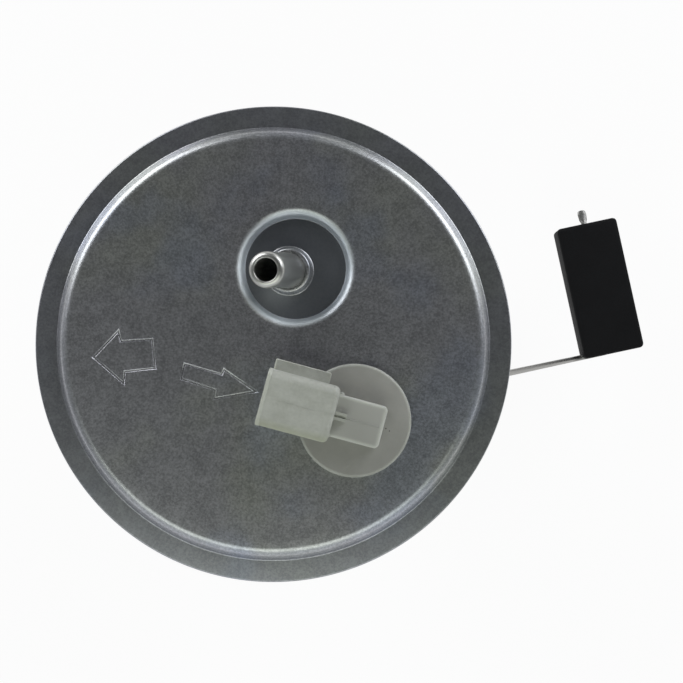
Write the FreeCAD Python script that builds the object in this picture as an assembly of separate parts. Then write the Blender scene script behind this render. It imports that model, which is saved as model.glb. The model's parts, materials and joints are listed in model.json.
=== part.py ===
# %% [markdown]
# Hanger assembly of an in-tank fuel pump.
# The origin is the centre of the flange in the plane of its sealing face, and +Z points out of the tank.
# The electrical socket faces -X. Everything that hangs below the flange is built along U, the direction
# of the float arm, and V, and is then turned by HANGER_TURN about Z.

# %%
import FreeCAD, Part
import math
import os

V = FreeCAD.Vector
UP = V(0, 0, 1)
HALF_TURN = 180.0
FULL_TURN = 360.0

# %% [markdown]
# Driving dimensions in millimetres and degrees.

# %%
RUN_GAP = 0.05          # radial clearance of a part that turns or slides
SOFT_GAP = 0.3          # clearance between moving faces

# Flange plate
FLANGE_R = 65.0
PLATE_T = 1.5
PLATEAU_RISE = 3.0
RIM_WIDTH = 6.05
STEP_RUN = 1.95
STEP_TOP_FILLET = 2.3
STEP_FOOT_FILLET = 1.05
RIM_EDGE_FILLET = 0.5
DIMPLE_X = 0.6
DIMPLE_Y = 21.1
DIMPLE_TOP_R = 14.3
DIMPLE_FLOOR_R = 13.75
DIMPLE_DEPTH = 3.0
DIMPLE_FILLET = 2.3

# Outlet tube
TUBE_R = 4.75
TUBE_SWAGE = 0.3
TUBE_BORE_R = 3.0
TUBE_X = -1.0
TUBE_Y = 20.1
TUBE_LEAN = 11.6
TUBE_LEAN_AZ = 216.5
TUBE_NOSE_Z = 29.5
TUBE_BEND_Z = -10.0
TUBE_BEND_R = 30.0
TUBE_END_Z = -80.0
NOSE_FILLET = 1.4
COLLAR_R = 6.35
COLLAR_H = 2.2
BRAZE_R = 7.6

# Connector
CONN_X = 26.8
CONN_Y = -14.7
CONN_FLANGE_R = 15.3
CONN_FLANGE_T = 2.5
CONN_NECK_R = 11.5
CONN_NECK_GAP = 0.3
CONN_NECK_END_Z = -6.0
SHELL_X0 = 1.8
SHELL_X1 = 21.2
SHELL_WIDTH = 15.2
SHELL_Z0 = 8.1
SHELL_H = 16.2
SHELL_WALL = 1.6
SHELL_FILLET = 2.6
SHELL_BACK = 4.4
MOUTH_CHAMFER = 0.8
COLUMN_X0 = 18.0
COLUMN_X1 = 34.6
COLUMN_WIDTH = 11.6
COLUMN_TOP_Z = 13.9
COLUMN_FILLET = 1.4
RAIL_X0 = 2.5
RAIL_X1 = 17.7
RAIL_REACH = 3.0
RAIL_H = 4.0
RAIL_ROUND = 0.4
RIB_LENGTH = 3.3
RIB_T = 0.8
RIB_PITCH = 1.4
RIB_RISE = 2.4
RIB_FILL = 0.8          # height of the web between the ribs, as a share of their rise
BLADE_W = 2.8
BLADE_T = 0.8
BLADE_PITCH_Y = 5.6
BLADE_PITCH_Z = 6.4
BLADE_TIP_X = 6.8
BLADE_TAIL_Z = -14.0
SEAL_INNER_R = 12.6
SEAL_W = 1.6
SEAL_T = 1.2
RETAINER_R = 15.0
RETAINER_T = 1.0

# Hanger frame
HANGER_TURN = 27.0
PUMP_U = 9.0
PUMP_V = 9.0

# Pump case and covers
CASE_R = 19.0
CASE_WALL = 1.2
CASE_TOP_Z = -108.0
CASE_LENGTH = 62.0
CASE_LIP = 1.6
COVER_T = 8.0
COVER_HUB_R = 15.0
COVER_HUB_H = 3.0
CORE_HOLE_R = 2.0
CORE_ROOF = 1.8
CORE_HOLE_SHARES = ((0.57, 0.40), (0.64, -0.33))    # across and along, in shares of the hub's radius
NIPPLE_TOP_Z = -90.0
NIPPLE_BORE_R = 3.2
INLET_BOSS_R = 14.0
INLET_BOSS_H = 2.0
INLET_R = 5.5
INLET_BORE_R = 3.5
INLET_LENGTH = 13.0
COVER_LOW_T = 4.0
IMPELLER_R = 14.5
IMPELLER_T = 3.0
IMPELLER_GAP = 0.2
IMPELLER_VANES = 24
UPPER_PLATE_T = 4.5

# Motor
SHAFT_R = 1.6
CORE_R = 12.0
CORE_LENGTH = 20.0
CORE_SLOTS = 8
SLOT_W = 3.0
SLOT_DEPTH = 6.5
WINDING_END = 3.0
COMM_R = 8.0
COMM_T = 3.0
MAGNET_GAP = 0.6
MAGNET_ARC = 140.0
MAGNET_OVERHANG = 2.0
BEARING_R = 3.4
BEARING_L = 4.0
BRUSH_W = 5.0
BRUSH_D = 3.6
BRUSH_L = 6.0
BRUSH_OFFSET = 5.6
BRUSH_SPRING_R = 1.5

# Valves in the outlet cover
SEAT_Z = -104.0
SEAT_T = 2.0
SEAT_HOLE_R = 1.8
POPPET_R = 2.6
POPPET_T = 1.5
POPPET_STEM_R = 0.9
CHECK_LIFT = 2.0
STOP_T = 1.5
STOP_HOLE_R = 1.2
RELIEF_OFFSET = 11.0
RELIEF_BORE_R = 2.0
RELIEF_BALL_R = 1.7
RELIEF_HOLE_R = 1.0
RELIEF_LIFT = 1.0
RELIEF_CAP_T = 1.0

# Pump mounting
SLEEVE_T = 2.0
SLEEVE_END = 10.0
CLAMP_T = 1.0
CLAMP_W = 12.0
CLAMP_Z = -139.0
CLAMP_SLIT = 4.0
CLAMP_EAR = 9.0
STRAP_T = 1.5
STRAP_HALF_W = 14.0
STRAP_NECK_U0 = -8.0
STRAP_NECK_U1 = 4.0
STRAP_NECK_END_Z = -20.0
STRAP_FLARE_Z = -30.0
STRAP_FLANGE_H = 3.0
FOOT_LENGTH = 13.0
CUSHION_T = 5.0
CUSHION_R = 18.0
SHELF_HOLE_R = 9.6
SCREW_R = 2.0
SCREW_HEAD_R = 3.6
SCREW_HEAD_H = 1.6

# Hose
HOSE_WALL = 2.0
HOSE_OVERLAP = 14.0
HOSE_CLAMP_T = 0.7
HOSE_CLAMP_W = 7.0

# Strainer
BAG_LENGTH = 90.0
BAG_WIDTH = 48.0
BAG_T = 12.0
BAG_SHIFT_U = 20.0
BAG_CORNER_R = 16.0
BAG_EDGE_FILLET = 5.0
COLLAR_WALL = 2.6
STRAINER_COLLAR_H = 5.0
STRAINER_PLATE_R = 14.0
STRAINER_PLATE_T = 1.2
PUSH_NUT_T = 0.8

# Sender, arm and float
PIVOT_U = 15.0
PIVOT_Z = -62.0
PIVOT_R = 3.0
PIVOT_REACH = 5.4
HUB_R = 6.5
HUB_W = 4.0
LEVER_LENGTH = 15.0
LEVER_H = 4.4
WIRE_R = 1.0
WIRE_BEND_R = 5.0
WIRE_KNEE_U = 58.0
WIRE_KNEE_Z = -55.0
WIRE_ANKLE_U = 104.5
WIRE_START = 5.0
WIRE_FLAT_LENGTH = 5.6
WIRE_FLAT_W = 3.3
WIRE_FLAT_T = 0.9
FLOAT_U0 = 108.1
FLOAT_WIDTH = 23.0
FLOAT_BORE_U = 119.6
FLOAT_OVERHANG = 0.9
FLOAT_LENGTH = 50.2
FLOAT_H = 13.0
FLOAT_TOP_Z = -170.0
FLOAT_FILLET = 1.6
SENDER_U0 = -4.0
SENDER_U1 = 26.5
SENDER_TOP_Z = -46.0
SENDER_H = 32.0
SENDER_T = 4.6
CARD_T = 0.9
CARD_W = 10.0
CARD_H = 26.0
WIPER_RADIUS = 15.0
WIPER_ANGLE = 150.0
WIPER_GAP = 0.05
WIPER_W = 2.0
ARM_TRAVEL = 60.0

# %% [markdown]
# Sizes that follow from the driving ones.

# %%
STEP_FOOT_R = FLANGE_R - RIM_WIDTH
STEP_TOP_R = STEP_FOOT_R - STEP_RUN
RIM_TOP_Z = PLATE_T
PLATEAU_Z = PLATE_T + PLATEAU_RISE
PLATEAU_UNDER_Z = PLATEAU_Z - PLATE_T
DIMPLE_FLOOR_Z = PLATEAU_Z - DIMPLE_DEPTH
CASE_BOTTOM_Z = CASE_TOP_Z - CASE_LENGTH
CASE_BORE_R = CASE_R - CASE_WALL
SLEEVE_R = CASE_R + SLEEVE_T
CLAMP_R = SLEEVE_R + CLAMP_T
STRAP_IN_V = PUMP_V - CLAMP_R
STRAP_OUT_V = STRAP_IN_V - STRAP_T
STRAP_U0 = PUMP_U - STRAP_HALF_W
STRAP_U1 = PUMP_U + STRAP_HALF_W
COVER_TOP_Z = CASE_TOP_Z - CASE_WALL
COVER_BOTTOM_Z = COVER_TOP_Z - COVER_T
INLET_TOP_Z = CASE_BOTTOM_Z + CASE_WALL + COVER_LOW_T
IMPELLER_Z0 = INLET_TOP_Z + IMPELLER_GAP
IMPELLER_Z1 = IMPELLER_Z0 + IMPELLER_T
UPPER_PLATE_Z1 = IMPELLER_Z1 + IMPELLER_GAP + UPPER_PLATE_T
CASE_FOOT_Z = CASE_BOTTOM_Z - INLET_BOSS_H
SHELF_TOP_Z = CASE_FOOT_Z - CUSHION_T
SHELF_Z = SHELF_TOP_Z - STRAP_T
INLET_END_Z = CASE_FOOT_Z - INLET_LENGTH
COMM_TOP_Z = COVER_BOTTOM_Z - COMM_T
COMM_Z0 = COMM_TOP_Z - COMM_T
CORE_TOP_Z = COMM_Z0 - WINDING_END
CORE_BOTTOM_Z = CORE_TOP_Z - CORE_LENGTH
TUBE_NECK_R = TUBE_R - TUBE_SWAGE
HOSE_R = TUBE_NECK_R + HOSE_WALL
SENDER_IN_V = STRAP_OUT_V
SENDER_OUT_V = SENDER_IN_V - SENDER_T
HUB_IN_V = SENDER_OUT_V - SOFT_GAP
HUB_OUT_V = HUB_IN_V - HUB_W
ARM_V = HUB_IN_V - HUB_W / 2
FLOAT_MID_Z = FLOAT_TOP_Z - FLOAT_H / 2
FLOAT_V0 = ARM_V - FLOAT_OVERHANG
FLOAT_V1 = FLOAT_V0 + FLOAT_LENGTH
BAG_TOP_Z = INLET_END_Z - SOFT_GAP

# %% [markdown]
# Building blocks shared by the pieces.

# %%
def cyl(radius, z0, z1, x=0.0, y=0.0):
    """Upright cylinder between two heights."""
    return Part.makeCylinder(radius, z1 - z0, V(x, y, z0))


def ring(outer, inner, z0, z1, x=0.0, y=0.0):
    """Upright hollow cylinder between two heights."""
    return cyl(outer, z0, z1, x, y).cut(cyl(inner, z0, z1, x, y))


def block(x0, x1, y0, y1, z0, z1):
    """Box between two corners."""
    return Part.makeBox(x1 - x0, y1 - y0, z1 - z0, V(x0, y0, z0))


def revolved(profile, x=0.0, y=0.0):
    """Solid of revolution about an upright axis, from (radius, height) points."""
    points = [V(x + r, y, z) for r, z in profile]
    face = Part.Face(Part.makePolygon(points + points[:1]))
    return face.revolve(V(x, y, 0), UP, FULL_TURN)


def extruded(points, direction):
    """Straight extrusion of a closed outline."""
    return Part.Face(Part.makePolygon(points + points[:1])).extrude(direction)


def joined(shapes):
    """One solid from several that touch or overlap."""
    first, rest = shapes[0], shapes[1:]
    return first.multiFuse(rest).removeSplitter() if rest else first


def group(shapes):
    """Separate solids kept in one node."""
    return Part.makeCompound(shapes)


def circles_at(solid, radius, z):
    """Circular edges of one radius at one height."""
    found = []
    for edge in solid.Edges:
        curve = edge.Curve
        if isinstance(curve, Part.Circle) and abs(curve.Radius - radius) < 1e-4:
            if abs(curve.Center.z - z) < 1e-4:
                found.append(edge)
    return found


def edges_along(solid, axis, low=None, high=None, along=None):
    """Straight edges parallel to an axis, kept by a range of their middle on another axis."""
    found = []
    for edge in solid.Edges:
        if not isinstance(edge.Curve, Part.Line):
            continue
        span = edge.Vertexes[-1].Point - edge.Vertexes[0].Point
        if span.Length < 1e-6 or abs(abs(span.normalize().dot(axis)) - 1.0) > 1e-6:
            continue
        middle = (edge.Vertexes[-1].Point + edge.Vertexes[0].Point) * 0.5
        if along is None or low <= middle.dot(along) <= high:
            found.append(edge)
    return found


def bent_path(points, radii):
    """Straight runs joined by tangent arcs, one radius for each inner point."""
    edges = []
    start = points[0]
    for before, corner, after, radius in zip(points, points[1:], points[2:], radii):
        inward = (corner - before).normalize()
        onward = (after - corner).normalize()
        turn = inward.getAngle(onward)
        reach = radius * math.tan(turn / 2)
        enter = corner - inward * reach
        leave = corner + onward * reach
        bisector = (onward - inward).normalize()
        centre = corner + bisector * (radius / math.cos(turn / 2))
        middle = centre - bisector * radius
        edges.append(Part.LineSegment(start, enter).toShape())
        edges.append(Part.Arc(enter, middle, leave).toShape())
        start = leave
    edges.append(Part.LineSegment(start, points[-1]).toShape())
    return Part.Wire(edges)


def rod(points, radii, radius):
    """Round bar along a bent path."""
    heading = points[1] - points[0]
    disc = Part.Face(Part.Wire(Part.makeCircle(radius, points[0], heading)))
    return bent_path(points, radii).makePipe(disc)


def hang(shape):
    """Turn a piece built along U and V into the part's frame."""
    turned = shape.copy()
    turned.rotate(V(0, 0, 0), UP, HANGER_TURN)
    return turned


def hanging(x, y, z):
    """U, V and height of a point given in the part's frame."""
    turn = math.radians(HANGER_TURN)
    u = x * math.cos(turn) + y * math.sin(turn)
    v = y * math.cos(turn) - x * math.sin(turn)
    return V(u, v, z)


def save(name, shape):
    """Write one node."""
    shape.exportStep("parts/" + name + ".step")


# %% [markdown]
# Flange plate: stamped disc with a step, a round dimple and holes for the tube and the connector.

# %%
WALL_TURN = math.atan2(PLATEAU_RISE, STEP_FOOT_R - STEP_TOP_R)
UNDER_SHIFT = PLATE_T * math.tan(WALL_TURN / 2)

TUBE_DIR = V(
    math.sin(math.radians(TUBE_LEAN)) * math.cos(math.radians(TUBE_LEAN_AZ)),
    math.sin(math.radians(TUBE_LEAN)) * math.sin(math.radians(TUBE_LEAN_AZ)),
    math.cos(math.radians(TUBE_LEAN)),
)
COLLAR_Z = DIMPLE_FLOOR_Z + COLLAR_H / 2
TUBE_FOOT = V(TUBE_X, TUBE_Y, COLLAR_Z)


def on_tube(z):
    """Point of the leaning tube axis at a height."""
    return TUBE_FOOT + TUBE_DIR * ((z - COLLAR_Z) / TUBE_DIR.z)


TUBE_BEND = on_tube(TUBE_BEND_Z)
TUBE_END = V(TUBE_BEND.x, TUBE_BEND.y, TUBE_END_Z)
OUTLET = hanging(TUBE_END.x, TUBE_END.y, 0.0)


def tube_rod(radius, top=TUBE_NOSE_Z, bottom=TUBE_END_Z):
    """Solid along the outlet tube."""
    low = V(TUBE_END.x, TUBE_END.y, bottom)
    return rod([on_tube(top), TUBE_BEND, low], [TUBE_BEND_R], radius)


def flange_plate():
    """Stamped disc."""
    plate = revolved([
        (0, PLATEAU_UNDER_Z),
        (STEP_TOP_R - UNDER_SHIFT, PLATEAU_UNDER_Z),
        (STEP_FOOT_R - UNDER_SHIFT, 0),
        (FLANGE_R, 0),
        (FLANGE_R, RIM_TOP_Z),
        (STEP_FOOT_R, RIM_TOP_Z),
        (STEP_TOP_R, PLATEAU_Z),
        (0, PLATEAU_Z),
    ])
    plate = plate.makeFillet(STEP_TOP_FILLET, circles_at(plate, STEP_TOP_R, PLATEAU_Z))
    plate = plate.makeFillet(STEP_FOOT_FILLET, circles_at(plate, STEP_FOOT_R, RIM_TOP_Z))
    inner_top = STEP_TOP_FILLET - PLATE_T
    plate = plate.makeFillet(
        inner_top, circles_at(plate, STEP_TOP_R - UNDER_SHIFT, PLATEAU_UNDER_Z))
    inner_foot = STEP_FOOT_FILLET + PLATE_T
    plate = plate.makeFillet(inner_foot, circles_at(plate, STEP_FOOT_R - UNDER_SHIFT, 0))
    plate = plate.makeFillet(RIM_EDGE_FILLET, circles_at(plate, FLANGE_R, RIM_TOP_Z))
    cup_floor_z = DIMPLE_FLOOR_Z - PLATE_T
    cup = revolved([
        (0, cup_floor_z),
        (DIMPLE_FLOOR_R + PLATE_T, cup_floor_z),
        (DIMPLE_TOP_R + PLATE_T, PLATEAU_UNDER_Z),
        (0, PLATEAU_UNDER_Z),
    ], DIMPLE_X, DIMPLE_Y)
    hollow = revolved([
        (0, DIMPLE_FLOOR_Z),
        (DIMPLE_FLOOR_R, DIMPLE_FLOOR_Z),
        (DIMPLE_TOP_R, PLATEAU_Z),
        (0, PLATEAU_Z),
    ], DIMPLE_X, DIMPLE_Y)
    plate = plate.fuse(cup).cut(hollow)
    plate = plate.makeFillet(DIMPLE_FILLET, circles_at(plate, DIMPLE_TOP_R, PLATEAU_Z))
    neck_hole = CONN_NECK_R + CONN_NECK_GAP
    plate = plate.cut(cyl(neck_hole, 0, PLATEAU_Z, CONN_X, CONN_Y))
    return plate.cut(tube_rod(TUBE_NECK_R))


def outlet_tube():
    """Steel tube with a rounded nose; below the spigot it is drawn a little thinner."""
    spigot_z0 = (TUBE_FOOT + TUBE_DIR * (COLLAR_H / 2 + SOFT_GAP)).z
    spigot = rod([on_tube(spigot_z0), on_tube(TUBE_NOSE_Z)], [], TUBE_R)
    body = joined([spigot, tube_rod(TUBE_NECK_R)])
    nose = [edge for edge in body.Edges
            if edge.CenterOfMass.distanceToPoint(on_tube(TUBE_NOSE_Z)) < TUBE_BORE_R]
    body = body.makeFillet(NOSE_FILLET, nose)
    return body.cut(tube_rod(TUBE_BORE_R))


def tube_collar():
    """Bead round the leaning tube and the braze ring that it stands on."""
    depth = COLLAR_H * 1.5
    bead = Part.makeCylinder(COLLAR_R, depth + COLLAR_H / 2, TUBE_FOOT - TUBE_DIR * depth, TUBE_DIR)
    top_rim = [edge for edge in bead.Edges if edge.CenterOfMass.z > COLLAR_Z + COLLAR_H / 4
               and edge.Closed]
    bead = bead.makeFillet(COLLAR_H / 4, top_rim)
    skirt = cyl(BRAZE_R, DIMPLE_FLOOR_Z, DIMPLE_FLOOR_Z + COLLAR_H / 3, TUBE_X, TUBE_Y)
    under = block(TUBE_X - FLANGE_R, TUBE_X + FLANGE_R, TUBE_Y - FLANGE_R, TUBE_Y + FLANGE_R,
                  DIMPLE_FLOOR_Z - FLANGE_R, DIMPLE_FLOOR_Z)
    return joined([bead, skirt]).cut(under).cut(tube_rod(TUBE_NECK_R))


# %% [markdown]
# Connector: right angle nylon socket with four blades moulded in.

# %%
SHELL_Y0 = CONN_Y - SHELL_WIDTH / 2
SHELL_Y1 = CONN_Y + SHELL_WIDTH / 2
SHELL_Z1 = SHELL_Z0 + SHELL_H
SHELL_MID_Z = SHELL_Z0 + SHELL_H / 2
CONN_FLANGE_Z = PLATEAU_Z + CONN_FLANGE_T
SOCKET_END_X = SHELL_X1 - SHELL_BACK


def blade(y, z, bend_x):
    """Right angle terminal from the socket to below the flange."""
    flat = block(BLADE_TIP_X, bend_x, y - BLADE_W / 2, y + BLADE_W / 2,
                 z - BLADE_T / 2, z + BLADE_T / 2)
    tail = block(bend_x - BLADE_T, bend_x, y - BLADE_W / 2, y + BLADE_W / 2,
                 BLADE_TAIL_Z, z + BLADE_T / 2)
    tip = edges_along(flat, V(0, 1, 0), BLADE_TIP_X - 1, BLADE_TIP_X + 1, V(1, 0, 0))
    return joined([flat.makeChamfer(BLADE_T / 4, tip), tail])


def terminal_blades():
    """Two rows of two terminals."""
    blades = []
    rows = [(-BLADE_PITCH_Z / 2, SHELL_X1 + BLADE_T * 4), (BLADE_PITCH_Z / 2, SHELL_X1 - BLADE_T * 2)]
    for side in (-BLADE_PITCH_Y / 2, BLADE_PITCH_Y / 2):
        for rise, bend_x in rows:
            blades.append(blade(CONN_Y + side, SHELL_MID_Z + rise, bend_x))
    return group(blades)


def socket_shell():
    """Rounded rectangular socket, open towards -X."""
    body = block(SHELL_X0, SHELL_X1, SHELL_Y0, SHELL_Y1, SHELL_Z0, SHELL_Z1)
    body = body.makeFillet(SHELL_FILLET, edges_along(body, V(1, 0, 0)))
    rear = [edge for edge in body.Edges if edge.BoundBox.XMin > SHELL_X1 - 1e-3]
    body = body.makeFillet(SHELL_WALL, rear)
    hollow = block(SHELL_X0, SOCKET_END_X, SHELL_Y0 + SHELL_WALL, SHELL_Y1 - SHELL_WALL,
                   SHELL_Z0 + SHELL_WALL, SHELL_Z1 - SHELL_WALL)
    hollow = hollow.makeFillet(SHELL_FILLET - SHELL_WALL, edges_along(hollow, V(1, 0, 0)))
    body = body.cut(hollow)
    mouth = [edge for edge in body.Edges if edge.BoundBox.XMax < SHELL_X0 + 1e-3]
    inner = [edge for edge in mouth if edge.BoundBox.YMin > SHELL_Y0 + SHELL_WALL - 1e-3
             and edge.BoundBox.YMax < SHELL_Y1 - SHELL_WALL + 1e-3
             and edge.BoundBox.ZMin > SHELL_Z0 + SHELL_WALL - 1e-3
             and edge.BoundBox.ZMax < SHELL_Z1 - SHELL_WALL + 1e-3]
    return body.makeChamfer(MOUTH_CHAMFER, inner)


def latch_rail():
    """Rail along the side of the socket that the plug's latch rides on."""
    rail_y1 = SHELL_Y1 + RAIL_REACH
    middle = (SHELL_Z0 + COLUMN_TOP_Z) / 2 + RAIL_H / 2
    web = block(RAIL_X0, RAIL_X1, SHELL_Y1 - SHELL_WALL / 2, rail_y1,
                middle - RAIL_H / 2, middle + RAIL_H / 2)
    outer = edges_along(web, V(0, 0, 1), rail_y1 - 1e-3, rail_y1 + 1e-3, V(0, 1, 0))
    web = web.makeFillet(RAIL_ROUND, outer)
    top = edges_along(web, V(1, 0, 0), rail_y1 - 1e-3, rail_y1 + 1e-3, V(0, 1, 0))
    return web.makeChamfer(RAIL_ROUND / 2, top)


def connector_housing():
    """Nylon body with round flange, neck, column and socket."""
    flange = cyl(CONN_FLANGE_R, PLATEAU_Z, CONN_FLANGE_Z, CONN_X, CONN_Y)
    flange = flange.makeFillet(CONN_FLANGE_T / 3, circles_at(flange, CONN_FLANGE_R, CONN_FLANGE_Z))
    neck = cyl(CONN_NECK_R, CONN_NECK_END_Z, PLATEAU_Z, CONN_X, CONN_Y)
    column = block(COLUMN_X0, COLUMN_X1, CONN_Y - COLUMN_WIDTH / 2, CONN_Y + COLUMN_WIDTH / 2,
                   PLATEAU_Z, COLUMN_TOP_Z)
    uprights = edges_along(column, UP, COLUMN_X1 - 1, COLUMN_X1 + 1, V(1, 0, 0))
    column = column.makeFillet(COLUMN_FILLET, uprights)
    crown = [edge for edge in column.Edges if edge.BoundBox.ZMin > COLUMN_TOP_Z - 1e-3
             and edge.BoundBox.XMax > COLUMN_X0 + 1]
    column = column.makeFillet(COLUMN_FILLET / 2, crown)
    pieces = [flange, neck, column, socket_shell(), latch_rail()]
    for side in (-RIB_PITCH / 2, RIB_PITCH / 2):
        pieces.append(block(SHELL_X1 - SHELL_WALL, SHELL_X1 + RIB_LENGTH,
                            CONN_Y + side - RIB_T / 2, CONN_Y + side + RIB_T / 2,
                            COLUMN_TOP_Z - RIB_T, COLUMN_TOP_Z + RIB_RISE))
    pieces.append(block(SHELL_X1 - SHELL_WALL, SHELL_X1 + RIB_LENGTH, CONN_Y - RIB_PITCH / 2,
                        CONN_Y + RIB_PITCH / 2, COLUMN_TOP_Z - RIB_T, COLUMN_TOP_Z + RIB_RISE * RIB_FILL))
    body = joined(pieces)
    groove = ring(SEAL_INNER_R + SEAL_W, SEAL_INNER_R, PLATEAU_Z, PLATEAU_Z + SEAL_T, CONN_X, CONN_Y)
    return body.cut(groove).cut(terminal_blades())


def connector_seal():
    """Flat sealing ring in the groove under the connector's flange."""
    return ring(SEAL_INNER_R + SEAL_W, SEAL_INNER_R, PLATEAU_Z, PLATEAU_Z + SEAL_T, CONN_X, CONN_Y)


def connector_retainer():
    """Push-on spring ring that holds the neck from below, with notches round its bore."""
    top = PLATEAU_UNDER_Z
    body = ring(RETAINER_R, CONN_NECK_R, top - RETAINER_T, top, CONN_X, CONN_Y)
    for step in range(6):
        notch = block(CONN_X, CONN_X + (CONN_NECK_R + RETAINER_R) / 2,
                      CONN_Y - RETAINER_T / 2, CONN_Y + RETAINER_T / 2, top - RETAINER_T, top)
        notch.rotate(V(CONN_X, CONN_Y, 0), UP, step * FULL_TURN / 6)
        body = body.cut(notch)
    return body


# %% [markdown]
# Hanger bracket, clamp, sleeve and cushion that carry the pump.

# %%
def hanger_bracket():
    """Pressed steel strap with a welded foot, side flanges and a shelf under the pump."""
    outline = [
        V(STRAP_NECK_U0, STRAP_OUT_V, PLATEAU_UNDER_Z),
        V(STRAP_NECK_U1, STRAP_OUT_V, PLATEAU_UNDER_Z),
        V(STRAP_NECK_U1, STRAP_OUT_V, STRAP_NECK_END_Z),
        V(STRAP_U1, STRAP_OUT_V, STRAP_FLARE_Z),
        V(STRAP_U1, STRAP_OUT_V, SHELF_Z),
        V(STRAP_U0, STRAP_OUT_V, SHELF_Z),
        V(STRAP_U0, STRAP_OUT_V, STRAP_FLARE_Z),
        V(STRAP_NECK_U0, STRAP_OUT_V, STRAP_NECK_END_Z),
    ]
    strap = extruded(outline, V(0, STRAP_T, 0))
    foot = block(STRAP_NECK_U0, STRAP_NECK_U1, STRAP_OUT_V, STRAP_OUT_V + FOOT_LENGTH,
                 PLATEAU_UNDER_Z - STRAP_T, PLATEAU_UNDER_Z)
    pieces = [strap, foot]
    for u0 in (STRAP_U0, STRAP_U1 - STRAP_T):
        pieces.append(block(u0, u0 + STRAP_T, STRAP_OUT_V, STRAP_IN_V + STRAP_FLANGE_H,
                            SHELF_Z, STRAP_FLARE_Z))
    pieces.append(block(STRAP_U0, STRAP_U1, STRAP_OUT_V, PUMP_V, SHELF_Z, SHELF_TOP_Z))
    pieces.append(cyl(CUSHION_R, SHELF_Z, SHELF_TOP_Z, PUMP_U, PUMP_V))
    bracket = joined(pieces)
    bracket = bracket.cut(cyl(SHELF_HOLE_R, SHELF_Z, SHELF_TOP_Z, PUMP_U, PUMP_V))
    for u, z in clamp_holes():
        bracket = bracket.cut(across(SCREW_R, u, z, STRAP_OUT_V, STRAP_IN_V))
    for u, z in RIVET_PLACES:
        bracket = bracket.cut(across(RIVET_R, u, z, STRAP_OUT_V, STRAP_IN_V))
    corners = edges_along(bracket, V(0, 1, 0), STRAP_FLARE_Z - 1, PLATEAU_UNDER_Z, UP)
    return bracket.makeFillet(STRAP_T * 2, [edge for edge in corners if edge.Length < STRAP_T + 0.1
                                            and edge.CenterOfMass.z < STRAP_NECK_END_Z + 1
                                            and edge.CenterOfMass.z > STRAP_FLARE_Z + 1])


def across(radius, u, z, v0, v1):
    """Cylinder along V between two faces."""
    return Part.makeCylinder(radius, v1 - v0, V(u, v0, z), V(0, 1, 0))


def clamp_holes():
    """Places of the two screws that hold the clamp to the strap."""
    reach = STRAP_HALF_W - STRAP_T - SCREW_HEAD_R - SOFT_GAP
    return [(PUMP_U - reach, CLAMP_Z), (PUMP_U + reach, CLAMP_Z)]


def pump_clamp():
    """Open steel band round the sleeve with a flat seat on the strap and two ears."""
    z0 = CLAMP_Z - CLAMP_W / 2
    z1 = CLAMP_Z + CLAMP_W / 2
    reach = STRAP_HALF_W - STRAP_T - SOFT_GAP
    seat = block(PUMP_U - reach, PUMP_U + reach, STRAP_IN_V, STRAP_IN_V + CLAMP_T, z0, z1)
    ears = block(PUMP_U - CLAMP_SLIT / 2 - CLAMP_T, PUMP_U + CLAMP_SLIT / 2 + CLAMP_T,
                 PUMP_V + SLEEVE_R, PUMP_V + CLAMP_R + CLAMP_EAR, z0, z1)
    band = joined([cyl(CLAMP_R, z0, z1, PUMP_U, PUMP_V), seat, ears])
    band = band.cut(cyl(SLEEVE_R, z0, z1, PUMP_U, PUMP_V))
    slit = block(PUMP_U - CLAMP_SLIT / 2, PUMP_U + CLAMP_SLIT / 2,
                 PUMP_V, PUMP_V + CLAMP_R + CLAMP_EAR, z0, z1)
    band = band.cut(slit)
    ear_v = PUMP_V + CLAMP_R + CLAMP_EAR / 2
    band = band.cut(Part.makeCylinder(
        SCREW_R, CLAMP_SLIT + CLAMP_T * 4, V(PUMP_U - CLAMP_SLIT / 2 - CLAMP_T * 2, ear_v, CLAMP_Z),
        V(1, 0, 0)))
    for u, z in clamp_holes():
        band = band.cut(across(SCREW_R, u, z, STRAP_IN_V, STRAP_IN_V + CLAMP_T))
    return band


def clamp_screws():
    """Two screws through clamp and strap and one across the ears."""
    solids = []
    for u, z in clamp_holes():
        shank = across(SCREW_R, u, z, STRAP_OUT_V - SCREW_HEAD_H, STRAP_IN_V + CLAMP_T)
        head = across(SCREW_HEAD_R, u, z, STRAP_OUT_V - SCREW_HEAD_H, STRAP_OUT_V)
        solids.append(joined([shank, head]))
    ear_v = PUMP_V + CLAMP_R + CLAMP_EAR / 2
    half = CLAMP_SLIT / 2 + CLAMP_T
    shank = Part.makeCylinder(SCREW_R, half * 2, V(PUMP_U - half, ear_v, CLAMP_Z), V(1, 0, 0))
    head = Part.makeCylinder(SCREW_HEAD_R, SCREW_HEAD_H,
                             V(PUMP_U - half - SCREW_HEAD_H, ear_v, CLAMP_Z), V(1, 0, 0))
    nut = hexagon(V(PUMP_U + half, ear_v, CLAMP_Z), V(1, 0, 0))
    solids.append(joined([shank, head, nut]))
    return group(solids)


def hexagon(base, axis):
    """Hexagon nut standing on a face."""
    side = axis.cross(UP)
    points = []
    for step in range(6):
        angle = math.radians(step * FULL_TURN / 6)
        points.append(base + side * (SCREW_HEAD_R * math.cos(angle)) + UP * (SCREW_HEAD_R * math.sin(angle)))
    return extruded(points, axis * SCREW_HEAD_H)


def pump_sleeve():
    """Rubber sleeve between case and clamp."""
    return ring(SLEEVE_R, CASE_R, CASE_BOTTOM_Z + SLEEVE_END, CASE_TOP_Z - SLEEVE_END, PUMP_U, PUMP_V)


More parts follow.
